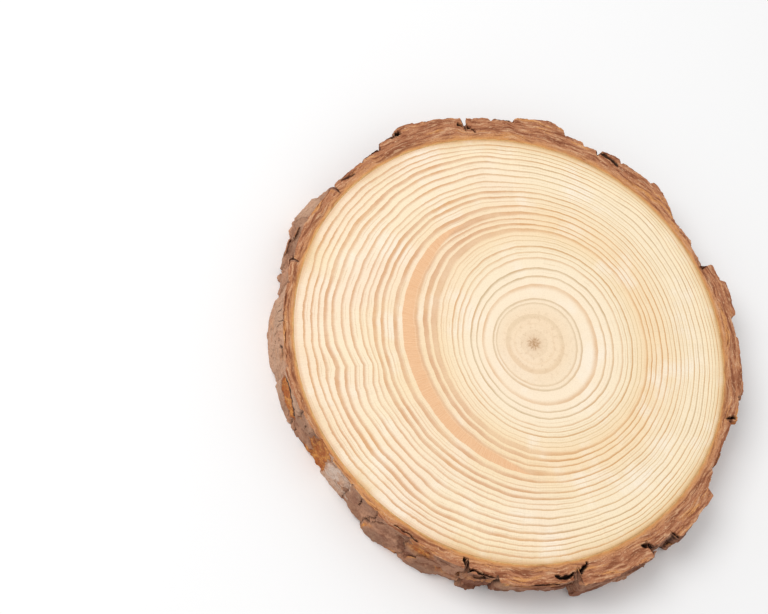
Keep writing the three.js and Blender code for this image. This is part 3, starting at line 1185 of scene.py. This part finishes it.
@dataclass(frozen=True)
class BarkRelief:
    """Relief of the bark: the CAD source's plates, forms and scales, and the finer layers and cracks."""

    stem: Stem
    plates: tuple[Plate, ...] = field(default_factory=default_plates)
    forms: tuple[SideForm, ...] = field(default_factory=default_forms)
    crevices: tuple[Crevice, ...] = field(default_factory=default_crevices)
    slits: tuple[Slit, ...] = field(default_factory=default_slits)
    pockets: tuple[Pocket, ...] = field(default_factory=default_pockets)
    seam_half_width: float = 0.7
    step_half_width: float = 0.34
    plate_lean: float = 2.4
    lean_wavelength: float = 46.0
    scale_columns: int = 44
    scale_tall: float = 13.0
    scale_jitter: float = 0.8
    scale_lift: float = 2.6
    lift_at_face: float = 0.4
    lift_fade: float = 6.0
    thinnest: float = 1.6
    layer_step: float = 0.85
    ragged: float = 1.1
    stray: float = 2.4
    slope_tall: float = 10.0
    outer_radius: float = 119.0
    face_band: float = 2.5
    ragged_pitch: tuple[float, float] = (5.0, 7.0)
    stray_pitch: tuple[float, float] = (7.0, 6.0)
    warp_pitch: tuple[float, float] = (4.0, 5.0)
    swell_pitch: tuple[float, float] = (6.0, 14.0)
    grit_pitch: tuple[float, float] = (0.9, 2.2)
    patch_pitch: tuple[float, float] = (5.0, 8.0)
    grit: float = 0.14
    # Strengths of the painted shade in the slits and in the hairlines.
    slit_shade: float = 0.8
    hairline_depth: float = 0.6
    hairline_shade: float = 0.7
    pocket_rim_cut: float = 0.25
    crevice_bend: float = 0.3
    crevice_wobble: float = 0.7
    crevice_unevenness: float = 0.4

    def lean(self, column: Array, height: Array) -> Array:
        """Returns the angles that the columns of the upper face reach at a height."""
        columns = round(FULL_TURN / self.lean_wavelength)
        place = (column % FULL_TURN) / FULL_TURN * columns
        step = np.floor(place)
        low = 2.0 * cell_value(step % columns, 0.0, Draw.LEAN.value) - 1.0
        high = 2.0 * cell_value((step + 1) % columns, 0.0, Draw.LEAN.value) - 1.0
        wave = mix(low, high, smooth(place - step))
        return column + self.plate_lean * wave * (1.0 - height / self.stem.thickness)

    def plate_index(self, column: Array) -> tuple[Array, Array, Array]:
        """Finds the plate at each column.

        Args:
            column: Angles at the upper face in degrees.

        Returns:
            The plates' indices, and the turns since their starts and until their ends.
        """
        starts = np.array([plate.start for plate in self.plates]) - self.plates[0].start
        ends = np.append(starts[1:], FULL_TURN)
        place = (column - self.plates[0].start) % FULL_TURN
        index = np.clip(np.searchsorted(starts, place, side="right") - 1, 0, len(starts) - 1)
        return index, place - starts[index], ends[index] - place

    def plate_skin(self, column: Array) -> Array:
        """Returns the plates' skin beyond the wood, with the cracks between them."""
        index, since, until = self.plate_index(column)
        skins = np.array([plate.skin for plate in self.plates])
        seams = np.array([plate.seam for plate in self.plates])
        skin = mix(skins[index, 0], skins[index, 1], since / (since + until))
        skin = mix(skin, skins[index - 1, 1], 0.5 * (1.0 - smooth(since / self.step_half_width)))
        following = skins[(index + 1) % len(skins), 0]
        skin = mix(skin, following, 0.5 * (1.0 - smooth(until / self.step_half_width)))
        before = seams[index] * (1.0 - smooth(since / self.seam_half_width))
        after = seams[(index + 1) % len(seams)] * (1.0 - smooth(until / self.seam_half_width))
        return skin - before - after

    def scales(self, angle: Array, height: Array) -> tuple[Array, Array, Array]:
        """Scales over the side.

        Args:
            angle: Angles in degrees.
            height: Heights in millimetres.

        Returns:
            The scales' lifts, a random value for each scale, and how near each point is to a scale's edge.
        """
        across = angle / FULL_TURN * self.scale_columns
        along = height / self.scale_tall
        nearest = np.full(angle.shape, np.inf)
        second = np.full(angle.shape, np.inf)
        lift = np.zeros(angle.shape)
        for right in (-1, 0, 1):
            for up in (-1, 0, 1):
                column = np.floor(across) + right
                row = np.floor(along) + up
                home = column % self.scale_columns
                shift_round = cell_value(home, row, Draw.SHIFT_ROUND.value) - 0.5
                shift_along = cell_value(home, row, Draw.SHIFT_ALONG.value) - 0.5
                x = column + 0.5 + self.scale_jitter * shift_round - across
                y = row + 0.5 + self.scale_jitter * shift_along - along
                distance = np.hypot(x, y)
                closer = distance < nearest
                second = np.where(closer, nearest, np.minimum(second, distance))
                lift = np.where(closer, cell_value(home, row, Draw.LIFT.value) - 0.5, lift)
                nearest = np.where(closer, distance, nearest)
        fade = smooth((height - self.stem.thickness + self.lift_fade) / self.lift_fade)
        return self.scale_lift * lift * mix(1.0, self.lift_at_face, fade), lift + 0.5, second - nearest

    def form_rise(self, angle: Array, height: Array) -> Array:
        """Returns the rise of the side forms."""
        rise = np.zeros(angle.shape)
        for form in self.forms:
            across = 2.0 * turn_between(angle, form.angle) / form.width
            along = 2.0 * (height - form.height) / form.tall
            rise = rise + form.rise * smooth((1.0 - np.hypot(across, along)) / form.edge)
        return rise

    def terraced(self, base: Array, angle: Array, height: Array, share: Array) -> tuple[Array, Array]:
        """Breaks the skin into sheets that end in small steps.

        Args:
            base: The skin in millimetres.
            angle: Angles in degrees.
            height: Heights in millimetres.
            share: How strongly the steps show.

        Returns:
            The stepped skin, and the number of the sheet at each point.
        """
        step = self.layer_step
        depth = base / step + 0.55 * rough(angle, height, (2.2, 4.0), Draw.LAYER, 3)
        layer = np.floor(depth)
        stepped = (layer + smooth((depth - layer - 0.62) / 0.3) - 0.3) * step
        return mix(base, stepped, share), layer

    def slit_open(self, angle: Array, height: Array) -> tuple[Array, Array]:
        """Returns how deep the slits cut, and the painted shade where they and the hairlines are open, from 0
        to 1.
        """
        wavy = rough(angle, height, (3.0, 3.0), Draw.TONE, 3)
        bent = rough(angle, height, (4.0, 4.0), Draw.GRIT, 3)
        uneven = 0.8 + 0.4 * ripple(angle, height, (1.0, 1.6), Draw.SAWN.value)
        cut = np.zeros(angle.shape)
        crack = np.zeros(angle.shape)
        for slit in self.slits:
            ends = (slit.start, slit.end)
            away, share, _ = along_stretch(angle + 0.5 * wavy, height + 0.9 * bent, ends, self.outer_radius)
            taper = uneven * (0.35 + 0.65 * np.sin(math.pi * np.clip(share, 0.0, 1.0)))
            opening = 1.0 - smooth(away / (slit.half_width * taper))
            cut = np.maximum(cut, slit.depth * opening)
            # Painted shade inside each open slit.
            crack = np.maximum(crack, self.slit_shade * opening)
        vein = np.abs(ripple(angle + 0.6 * wavy, height, (3.4, 15.0), Draw.CRACK.value + 0.7))
        gate = smooth(ripple(angle, height, (9.0, 12.0), Draw.CRACK.value + 2.3) / 0.5)
        hairline = (1.0 - smooth(vein / 0.07)) * gate
        # Hairlines are cut in a little and darkened with painted shade.
        return cut + self.hairline_depth * hairline, np.maximum(crack, self.hairline_shade * hairline)

    def pocket_open(self, angle: Array, height: Array) -> tuple[Array, Array, Array]:
        """Returns how deep the pockets cut, how far each point lies in one, and how near the painted shadow
        along its upper edge.
        """
        cut = np.zeros(angle.shape)
        inside = np.zeros(angle.shape)
        shade = np.zeros(angle.shape)
        for pocket in self.pockets:
            ends = (pocket.start, pocket.end)
            share, beside = along_stretch(angle, height, ends, self.outer_radius)[1:]
            reach = pocket.half_width * np.sin(math.pi * np.clip(share, 0.0, 1.0))
            within = smooth((reach - np.abs(beside)) / 0.45)
            tilt = np.clip(beside / pocket.half_width, -1.0, 1.0)
            # Painted shadow along the pocket's upper edge, under its lip, with a shallow cut.
            rim = 1.0 - smooth(np.abs(beside - reach - 0.7) / 1.7)
            rim = rim * smooth(reach / (0.35 * pocket.half_width))
            hollow = within * pocket.depth * (0.6 + 0.4 * tilt)
            cut = np.maximum(cut, np.maximum(hollow, self.pocket_rim_cut * rim))
            inside = np.maximum(inside, within)
            shade = np.maximum(shade, rim)
        return cut, inside, shade

    def skin(self, column: Array, height: Array) -> tuple[Array, dict[str, Array]]:
        """Skin of the bark beyond the wood.

        Args:
            column: Angles at the upper face in degrees.
            height: Heights in millimetres.

        Returns:
            The skin in millimetres, and masks from 0 to 1 named layer, crack (painted shade), scurf and rust.
        """
        angle = self.lean(column, height)
        below = smooth((self.stem.thickness - height) / self.face_band)
        wander = rough(angle, height, self.ragged_pitch, Draw.RAGGED, 3)
        jagged = column + self.ragged * below * wander
        index, since, until = self.plate_index(jagged)
        stray = rough(angle, height, self.stray_pitch, Draw.TONE, 4)
        dressed = self.plate_index(column + self.stray * below * stray)[0]
        kinds = [(plate.seam, plate.calm, plate.slope, plate.scurf, plate.rust) for plate in self.plates]
        looks = np.array(kinds)
        seam, calm, slope = looks[index, :3].T
        scurf, rust = looks[dressed, 3:].T
        warp = rough(angle, height, self.warp_pitch, Draw.CRACK, 4)
        lift, scale_value, scale_edge = self.scales(angle + 0.9 * warp * below, height + 1.4 * wander * below)
        swell = rough(angle, height, self.swell_pitch, Draw.SWELL, 4)
        base = self.plate_skin(jagged) + lift * (1.0 - calm) + self.form_rise(angle, height)
        base = base + (0.3 + 0.5 * below * (1.0 - 0.6 * calm)) * swell
        base = base - slope * (1.0 - smooth((self.stem.thickness - height) / self.slope_tall))
        base, layer = self.terraced(base, angle, height, mix(0.3, 0.8, below) * (1.0 - 0.5 * calm))
        base = base + self.grit * rough(angle, height, self.grit_pitch, Draw.GRIT, 3)
        cut, crack = self.slit_open(angle, height)
        pocket_cut, pocket, shade = self.pocket_open(angle, height)
        base = base - cut * (1.0 - pocket) - pocket_cut
        next_seam = looks[(index + 1) % len(looks), 0]
        seam_depth = np.where(since < until, seam, next_seam)
        seam_open = 1.0 - smooth(np.minimum(since, until) / (0.5 * self.seam_half_width))
        # Painted shade in the open seams between plates, darker where a seam is deeper.
        crack = np.maximum(crack, seam_open * np.clip(seam_depth / 1.6, 0.15, 0.85))
        # Painted shade lines under the edges of the scales.
        crack = np.maximum(crack, 0.4 * (1.0 - calm) * (1.0 - smooth(scale_edge / 0.05)) * below)
        # Inside the pockets the painted shade is taken away, and their upper edges get painted shadow.
        crack = np.maximum(crack * (1.0 - pocket), 0.9 * shade)
        layer_value = cell_value(layer, index, Draw.TONE.value)
        patch = ripple(angle, height, self.patch_pitch, Draw.TONE.value + 1.9)
        spread = 0.35 * (scale_value - 0.5) + 0.3 * (layer_value - 0.5) + 0.25 * patch
        cover = np.clip(scurf + (1.0 - 0.7 * calm) * spread, 0.0, np.maximum(scurf, 1.0)) * (1.0 - pocket)
        chipped = smooth((rust + 0.45 * layer_value + 0.3 * patch - 0.45) / 0.3)
        masks = {"layer": layer_value, "crack": crack, "scurf": cover, "rust": np.maximum(chipped, pocket)}
        return np.maximum(self.thinnest, base), masks

    def crevice_depth(self, angle: Array, radius: Array) -> Array:
        """Returns how deep the gaps cut into the upper face, as depths in millimetres."""
        wobble = rough(angle, radius, (1.6, 3.0), Draw.SAWN, 3)
        shake = rough(angle, radius, (1.2, 2.2), Draw.CRACK, 3)
        deepest = np.zeros(angle.shape)
        bent = angle + self.crevice_bend * shake
        wobbled = radius + self.crevice_wobble * wobble
        for crevice in self.crevices:
            ends = (crevice.start, crevice.end)
            away = along_stretch(bent, wobbled, ends, self.outer_radius)[0]
            width = crevice.half_width * (1.0 + self.crevice_unevenness * shake)
            deepest = np.maximum(deepest, crevice.depth * (1.0 - smooth(away / width)))
        return deepest


@dataclass(frozen=True)
class BarkFinish:
    """Scaly pine bark: weathered skin outside, laminated and reddish where it is sawn."""

    # Colour of the painted shade in cracks, seams, crevices and pocket edges.
    deep: str = "#24130E"
    brown: str = "#92604A"
    umber: str = "#744632"
    mauve: str = "#BF8F72"
    grey: str = "#A88168"
    lilac: str = "#D6B296"
    frost: str = "#DECBBC"
    rust: str = "#AE602C"
    chip: str = "#D9954E"
    gold: str = "#DAAE74"
    inner: str = "#D6965A"
    tan: str = "#CB8F63"
    red: str = "#B67A57"
    lamina: str = "#82492E"
    pale: str = "#E0B38C"
    middle: float = 0.114
    zones_depth: float = 13.0
    roughness: float = 0.88
    roughness_spread: tuple[float, float] = (-0.1, 0.08)

    def skin_colour(self, graph: Graph, axis: Array) -> Socket:
        """Returns the colour of the weathered outer side."""
        place = graph.object_place()
        striated = StemGrain.grain(graph, axis, (60.0, 300.0, 90.0), self.middle, detail=3.0)
        mottled = graph.noise(place, 260.0, 4.0, 0.62)
        fine = graph.noise(place, 900.0, 3.0, 0.65)
        scurf = graph.attribute("scurf")
        tone = graph.total(striated, graph.product(graph.attribute("layer"), 0.5))
        base = graph.blend(graph.span(tone, 0.4, 1.1), linear(self.umber), linear(self.brown))
        cover = graph.span(graph.total(scurf, graph.sway(mottled, 0.5)), 0.1, 0.9, 0.0, 0.95)
        patches = graph.span(graph.noise(place, 70.0), 0.4, 0.65)
        pale = graph.blend(patches, linear(self.mauve), linear(self.grey))
        pale = graph.blend(graph.span(scurf, 0.93, 1.0, 0.0, 0.45), pale, linear(self.lilac))
        frosted = graph.product(graph.span(scurf, 1.0, 1.4), graph.span(mottled, 0.3, 0.6, 0.25, 0.75))
        colour = graph.blend(cover, base, graph.blend(frosted, pale, linear(self.frost)))
        chips = graph.blend(graph.span(mottled, 0.4, 0.65), linear(self.rust), linear(self.chip))
        fresh = graph.product(graph.attribute("rust"), graph.span(fine, 0.25, 0.6, 0.7, 1.0))
        colour = graph.blend(fresh, colour, chips)
        return graph.blend(graph.span(fine, 0.32, 0.55, 0.42, 0.0), colour, linear(self.umber))

    def sawn_colour(self, graph: Graph, axis: Array) -> Socket:
        """Returns the colour of the bark where the saw cut it: thin wavy sheets, one round the other."""
        place = graph.object_place()
        ragged = graph.noise(place, 260.0, 3.0, 0.6)
        depth = graph.total(graph.attribute("depth"), graph.sway(ragged, 1.1))
        zones = [(0.0, self.gold), (0.03, self.gold), (0.06, self.inner), (0.18, self.tan), (0.36, self.red)]
        share = graph.maths("DIVIDE", depth, self.zones_depth)
        colour = graph.ramp(share, [(at, linear(tone)) for at, tone in zones])
        folds = graph.sway(graph.noise(place, 75.0, 2.0), 0.0025)
        bands = StemGrain.grain(graph, axis, (5.0, 430.0, 60.0), self.middle, folds)
        sheets = StemGrain.grain(graph, axis, (13.0, 900.0, 90.0), self.middle, folds)
        dashes = StemGrain.grain(graph, axis, (48.0, 1700.0, 120.0), self.middle, folds)
        grains = graph.noise(place, 1300.0, 2.0, 0.6)
        outside = graph.span(depth, 0.6, 3.4, 0.3, 1.0)
        strokes = (
            (bands, 0.53, 0.68, 0.85, self.inner),
            (bands, 0.49, 0.34, 0.85, self.lamina),
            (sheets, 0.48, 0.33, 0.85, self.lamina),
            (sheets, 0.53, 0.68, 0.65, self.pale),
            (dashes, 0.56, 0.74, 0.8, self.pale),
            (grains, 0.52, 0.28, 0.5, self.lamina),
        )
        for noise, start, full, most, tone in strokes:
            stroke = graph.span(noise, start, full, 0.0, most)
            colour = graph.blend(graph.product(stroke, outside), colour, linear(tone))
        return colour

    def material(self, axis: Array) -> bpy.types.Material:
        """Builds the material.

        Args:
            axis: The stem's axis in the part's frame, in millimetres.

        Returns:
            The material, which reads the attributes depth, sawn, layer, crack (painted shade), scurf and
            rust.
        """
        material, graph, shader = new_material("scaly_bark")
        sawn = graph.attribute("sawn")
        colour = graph.blend(sawn, self.skin_colour(graph, axis), self.sawn_colour(graph, axis))
        # Painted shade: the colour darkens towards deep where the crack mask is high.
        shade = graph.span(graph.attribute("crack"), 0.1, 0.8, 0.0, 0.93)
        colour = graph.blend(shade, colour, linear(self.deep))
        graph.feed(shader.inputs["Base Color"], colour)
        place = graph.object_place()
        grain = graph.noise(place, 1500.0, 3.0, 0.65)
        low, high = (self.roughness + part for part in self.roughness_spread)
        graph.feed(shader.inputs["Roughness"], graph.span(grain, 0.2, 0.8, low, high))
        shader.inputs["Specular IOR Level"].default_value = 0.25
        ribs = StemGrain.grain(graph, axis, (90.0, 1200.0, 150.0), self.middle, detail=3.0)
        bump = graph.add("ShaderNodeBump")
        bump.inputs["Strength"].default_value = 0.8
        bump.inputs["Distance"].default_value = 0.5 * MM
        graph.feed(bump.inputs["Height"], graph.maths("ADD", ribs, graph.maths("MULTIPLY", grain, 0.5)))
        graph.feed(shader.inputs["Normal"], bump.outputs[0])
        return material


@dataclass(frozen=True)
class BarkRing:
    """The closed ring of bark, one skin over the sawn faces, the scaly side and the wall against the wood."""

    stem: Stem
    relief: BarkRelief
    columns: int = 1280
    upper_rows: int = 20
    side_rows: int = 40
    lower_rows: int = 14
    inner_rows: int = 2
    chip: float = 0.35
    wear: float = 0.12
    rim_share: float = 0.14
    gap_shade: float = 1.6
    weld: float = 0.0005
    sharp: float = 38.0
    box_ease: float = 0.7
    map_strips: int = 4
    map_shares: tuple[float, ...] = (0.0, 0.24, 0.72, 0.94, 1.0)
    map_margin: float = 0.01

    @property
    def rows(self) -> int:
        """Returns the number of rows round the whole profile."""
        return int(self.row_ends[-1])

    @property
    def row_ends(self) -> Array:
        """Returns the rows where the upper face, the side, the lower face and the inner wall meet."""
        return np.cumsum([0, self.upper_rows, self.side_rows, self.lower_rows, self.inner_rows])

    def profile(self, row: Array) -> tuple[Array, Array]:
        """Place on the profile, from the wood over the upper face, down the side, back in and up again.

        Args:
            row: Row numbers.

        Returns:
            The share of the bark's thickness, and the share of the slice's height.
        """
        share = np.interp(row, self.row_ends, [0.0, 1.0, 1.0, 0.0, 0.0])
        height = np.interp(row, self.row_ends, [1.0, 1.0, 0.0, 0.0, 1.0])
        return share, height

    def build(self, material: bpy.types.Material) -> bpy.types.Object:
        """Builds the ring.

        Args:
            material: The bark's material.

        Returns:
            The finished piece.
        """
        piece = finish_piece("scaly_bark", unit_grid(self.columns, self.rows), material)
        mesh = piece.data
        grid = read_points(mesh)
        column = np.round(grid[:, 0]) / self.columns * FULL_TURN
        share, level = self.profile(np.round(grid[:, 1]))
        thickness = self.stem.thickness
        height = level * thickness
        angle = self.relief.lean(column, height)
        skin, masks = self.relief.skin(column, height)
        edge = self.stem.edge(angle)
        radius = edge + share * skin
        upper = (level == 1.0) & (share > 0.0)
        inside = np.clip(share * 8.0, 0.0, 1.0)
        gap = np.where(upper, self.relief.crevice_depth(angle, radius), 0.0)
        ragged = np.abs(rough(angle, radius, (1.2, 1.6), Draw.SAWN, 3))
        rim = smooth((share - (1.0 - self.rim_share)) / self.rim_share)
        worn = inside * (self.wear * ragged + self.chip * rim * ragged)
        height = np.where(upper, height - (worn + gap), height)
        lower = (level == 0.0) & (share > 0.0)
        height = np.where(lower, height + worn, height)
        points = self.stem.place(angle, radius, height)
        keep_in_box(points, "bark", self.box_ease)
        write_points(mesh, points)
        on_face = (level == 1.0) | (level == 0.0)
        # On the sawn faces painted shade darkens the crevices by their depth; on the side the relief's
        # painted shade is kept.
        crack = np.where(on_face, smooth(gap / self.gap_shade), masks["crack"])
        for name, values in {"depth": share * skin, **masks, "crack": crack}.items():
            write_values(mesh, name, values)
        self.mark_sawn(mesh, np.round(grid[:, 1]))
        self.lay_out(mesh, np.round(grid[:, 0]), np.round(grid[:, 1]))
        close_shell(mesh, self.sharp, weld=self.weld)
        return piece

    def lay_out(self, mesh: bpy.types.Mesh, columns: Array, rows: Array) -> None:
        """Unrolls the ring into strips in the UV map, each a part of the way round."""
        corners = corner_points(mesh)
        column, row = columns[corners], rows[corners]
        wide = self.columns / self.map_strips
        strip = np.floor(column.min(axis=1) / wide)[:, None]
        level = np.interp(row, self.row_ends, self.map_shares)
        margin = self.map_margin
        u = mix(margin, 1.0 - margin, column / wide - strip)
        v = (strip + mix(margin, 1.0 - margin, level)) / self.map_strips
        write_map(mesh, u, v)

    def mark_sawn(self, mesh: bpy.types.Mesh, rows: Array) -> None:
        """Stores which faces the saw made."""
        middle = rows[corner_points(mesh)].mean(axis=1)
        upper = middle < self.upper_rows
        lower = (middle > self.upper_rows + self.side_rows) & (middle < self.rows - self.inner_rows)
        write_values(mesh, "sawn", upper | lower, "FACE")


@dataclass(frozen=True)
class Flake:
    """A loose flake.

    angle and height give its place, width in degrees and tall in millimetres its size, turn how it is turned,
    free the direction of its free end, lift how far that stands off, and scurf its pale weathered skin.
    """

    angle: float
    height: float
    width: float
    tall: float
    turn: float
    free: float
    lift: float
    scurf: float


def default_flakes() -> tuple[Flake, ...]:
    """Returns the flakes that the photograph shows."""
    return (
        Flake(154.0, 19.0, 4.0, 7.0, 20.0, 60.0, 1.5, 0.8),
        Flake(157.5, 14.0, 5.0, 8.0, -15.0, 110.0, 1.7, 0.7),
        Flake(161.5, 18.5, 3.4, 6.0, 30.0, 80.0, 1.8, 0.8),
        Flake(203.0, 12.0, 4.6, 10.0, -25.0, 180.0, 1.1, 0.9),
        Flake(218.4, 16.4, 6.4, 11.0, 8.0, 190.0, 0.8, 1.4),
        Flake(228.0, 7.0, 5.0, 8.0, 15.0, 250.0, 1.0, 0.6),
        Flake(247.0, 9.0, 7.0, 9.0, -10.0, 200.0, 1.0, 0.6),
        Flake(259.5, 18.0, 3.6, 6.5, 25.0, 90.0, 1.6, 0.5),
        Flake(273.0, 19.6, 13.0, 5.0, 0.0, 90.0, 1.2, 0.5),
    )


@dataclass(frozen=True)
class BarkFlakes:
    """Thin loose flakes, each held to the side of the bark at one end and lifted off it at the other."""

    stem: Stem
    relief: BarkRelief
    shown: tuple[Flake, ...] = field(default_factory=default_flakes)
    scattered: int = 84
    seed: int = 19
    columns: int = 10
    rows: int = 7
    thickness: float = 0.6
    sink: float = 0.5
    roundness: float = 0.5
    ragged: float = 0.34
    z_margin: float = 0.9
    box_ease: float = 0.5
    most_calm: float = 0.25
    seam_margin: float = 0.42
    typical_percent: float = 55.0
    evenness: float = 0.7
    sharp: float = 50.0

    def all_flakes(self) -> list[Flake]:
        """Returns the shown flakes and the scattered ones, which keep off the calm plates and the pockets."""
        draw = np.random.default_rng(self.seed)
        calm = np.array([plate.calm for plate in self.relief.plates])
        flakes = list(self.shown)
        while len(flakes) < len(self.shown) + self.scattered:
            angle, height = draw.uniform(0.0, FULL_TURN), draw.uniform(3.0, 21.0)
            width, tall = draw.uniform(2.6, 6.0), draw.uniform(4.0, 9.0)
            turn, free = draw.uniform(-35.0, 35.0), draw.uniform(0.0, FULL_TURN)
            lift, scurf = draw.uniform(0.3, 1.2), draw.uniform(0.1, 0.8)
            place = np.array([angle]), np.array([height])
            index, since, until = self.relief.plate_index(2.0 * angle - self.relief.lean(*place))
            inside = self.relief.pocket_open(*place)[1][0]
            held_whole = min(since[0], until[0]) > self.seam_margin * width
            lively = calm[index[0]] < self.most_calm
            if lively and inside == 0.0 and held_whole:
                flakes.append(Flake(angle, height, width, tall, turn, free, lift, scurf))
        return flakes

    def shell(self, count: int) -> bmesh.types.BMesh:
        """Returns flat grids side by side along X, one for each flake."""
        stride = self.columns + 1
        shell = unit_grid(count * stride, self.rows)
        between = [face for face in shell.faces if face.calc_center_median().x % stride > self.columns]
        bmesh.ops.delete(shell, geom=between, context="FACES")
        return shell

    def build(self, material: bpy.types.Material) -> bpy.types.Object:
        """Builds the flakes.

        Args:
            material: The bark's material.

        Returns:
            The finished piece.
        """
        flakes = self.all_flakes()
        piece = finish_piece("bark_flakes", self.shell(len(flakes)), material)
        mesh = piece.data
        grid = np.round(read_points(mesh))
        stride = self.columns + 1
        number = np.minimum(grid[:, 0] // stride, len(flakes) - 1).astype(int)
        a = 2.0 * (grid[:, 0] - number * stride) / self.columns - 1.0
        b = 2.0 * grid[:, 1] / self.rows - 1.0
        looks = np.array([astuple(flake) for flake in flakes])
        angle, height, width, tall, turn, free, lift, scurf = looks[number].T
        x = a * (1.0 - self.roundness * (1.0 - np.sqrt(1.0 - b * b / 2.0)))
        y = b * (1.0 - self.roundness * (1.0 - np.sqrt(1.0 - a * a / 2.0)))
        rim = np.maximum(np.abs(a), np.abs(b))
        towards = np.degrees(np.arctan2(b, a))
        uneven = rough(towards, number * 9.0, (45.0, 3.0), Draw.RAGGED, 3)
        jag = 1.0 + self.ragged * rim * uneven
        arc = math.radians(1.0) * self.relief.outer_radius
        across, along = 0.5 * width * arc * x * jag, 0.5 * tall * y * jag
        turned = np.radians(turn)
        around = angle + (across * np.cos(turned) - along * np.sin(turned)) / arc
        level = height + across * np.sin(turned) + along * np.cos(turned)
        level = held(level, self.z_margin, self.stem.thickness - self.z_margin, self.box_ease)
        skin = self.relief.skin(around - self.relief.lean(around, level) + around, level)[0]
        reach = self.stem.edge(around) + skin
        typical = [np.percentile(reach[number == k], self.typical_percent) for k in range(len(flakes))]
        towards_free = x * np.cos(np.radians(free)) + y * np.sin(np.radians(free))
        loose = np.clip(0.5 + 0.5 * towards_free, 0.0, 1.0)
        even = mix(reach, np.array(typical)[number], self.evenness)
        radius = even + lift * loose**1.5 - self.sink * (1.0 - loose)
        points = self.stem.place(around, radius, level)
        keep_in_box(points, "bark", self.box_ease)
        write_points(mesh, points)
        patchy = 0.3 + 0.5 * ripple(around, level, (2.0, 3.0), Draw.TONE.value)
        fresh = smooth((rim * loose - 0.7) / 0.3) * patchy
        write_values(mesh, "scurf", scurf)
        write_values(mesh, "rust", fresh)
        write_values(mesh, "layer", cell_value(number, number * 0.0, Draw.LAYER.value))
        close_shell(mesh, self.sharp, wall=self.thickness)
        return piece


# Studio

@dataclass(frozen=True)
class PhotoCamera:
    """The photograph's camera, which looks down on the upper face from the side where the bark shows."""

    image_width: float = 768.0
    image_height: float = 614.0
    lens: float = 100.0
    sensor: float = 36.0
    slant: float = 27.4
    turn: float = 228.0
    distance: float = 1040.0
    nearest: float = 10.0
    face_centre_pixel: tuple[float, float] = (513.867, 341.966)

    def build(self, face_centre: Vector) -> bpy.types.Object:
        """Places the camera.

        Args:
            face_centre: The middle of the upper face, in metres.

        Returns:
            The camera, made the scene's own.
        """
        turned = math.radians(self.turn)
        slanted = math.radians(self.slant)
        level = Vector((math.cos(turned), math.sin(turned), 0.0))
        axis = Vector((0.0, 0.0, 1.0))
        towards = math.sin(slanted) * level + math.cos(slanted) * axis
        steep = math.cos(slanted) * level - math.sin(slanted) * axis
        beside = axis.cross(level)
        right = math.cos(turned) * steep - math.sin(turned) * beside
        up = math.sin(turned) * steep + math.cos(turned) * beside
        facing = Matrix((right, up, towards)).transposed()
        focal = self.lens / self.sensor * self.image_width
        x = (self.face_centre_pixel[0] - self.image_width / 2.0) / focal
        y = -(self.face_centre_pixel[1] - self.image_height / 2.0) / focal
        ahead = Vector((0.0, 0.0, -1.0))
        swing = ahead.rotation_difference(Vector((x, y, -1.0)).normalized()).to_matrix()
        data = bpy.data.cameras.new("photo_camera")
        data.lens = self.lens
        data.sensor_width = self.sensor
        data.sensor_fit = "HORIZONTAL"
        data.clip_start = self.nearest * MM
        camera = bpy.data.objects.new("photo_camera", data)
        place = face_centre + self.distance * MM * towards
        camera.matrix_world = Matrix.LocRotScale(place, (facing @ swing.transposed()).to_quaternion(), None)
        bpy.context.scene.collection.objects.link(camera)
        bpy.context.scene.camera = camera
        return camera


@dataclass(frozen=True)
class Studio:
    """Plain pale floor and soft light."""

    floor_size: float = 9000.0
    floor_colour: str = "#F7F7F7"
    key_power: float = 10.5
    key_size: float = 900.0
    key_towards: tuple[float, float, float] = (-0.9, 0.38, 1.5)
    key_distance: float = 1500.0
    sky: float = 0.7

    def floor(self) -> bpy.types.Object:
        """Builds the floor, just under the slice."""
        material, _, shader = new_material("pale_floor")
        shader.inputs["Base Color"].default_value = linear(self.floor_colour)
        shader.inputs["Roughness"].default_value = 0.9
        shader.inputs["Specular IOR Level"].default_value = 0.1
        shell = bmesh.new()
        bmesh.ops.create_grid(shell, x_segments=1, y_segments=1, size=self.floor_size / 2.0 * MM)
        return finish_piece("floor", shell, material)

    def key(self) -> bpy.types.Object:
        """Builds the key light: a large soft panel that looks at the slice."""
        data = bpy.data.lights.new("key_panel", "AREA")
        data.energy = self.key_power
        data.size = self.key_size * MM
        panel = bpy.data.objects.new("key_panel", data)
        place = Vector(self.key_towards).normalized() * self.key_distance * MM
        panel.matrix_world = Matrix.LocRotScale(place, place.to_track_quat("Z", "Y"), None)
        bpy.context.scene.collection.objects.link(panel)
        return panel

    def sky_light(self) -> None:
        """Sets the even light from all sides."""
        world = bpy.data.worlds.new("studio")
        bpy.context.scene.world = world
        world.use_nodes = True
        back = world.node_tree.nodes["Background"]
        back.inputs["Color"].default_value = (1.0, 1.0, 1.0, 1.0)
        back.inputs["Strength"].default_value = self.sky


def main() -> None:
    """Builds the slice and its studio, and reports each piece."""
    logging.basicConfig(level=logging.INFO, format="%(name)s %(message)s")
    stem = Stem()
    top = Vector((float(stem.centre[0]) * MM, float(stem.centre[1]) * MM, stem.thickness * MM))
    PhotoCamera().build(top)

    disc = WoodDisc(stem).build()
    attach(disc, "root")
    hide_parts("wood")
    report(disc)

    relief = BarkRelief(stem)
    bark_skin = BarkFinish().material(stem.centre)
    for bark in (BarkRing(stem, relief).build(bark_skin), BarkFlakes(stem, relief).build(bark_skin)):
        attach(bark, "root")
        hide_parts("bark")
        report(bark)

    studio = Studio()
    studio.floor()
    studio.key()
    studio.sky_light()

    bpy.context.scene.view_settings.view_transform = "Standard"


if __name__ == "__main__":
    main()
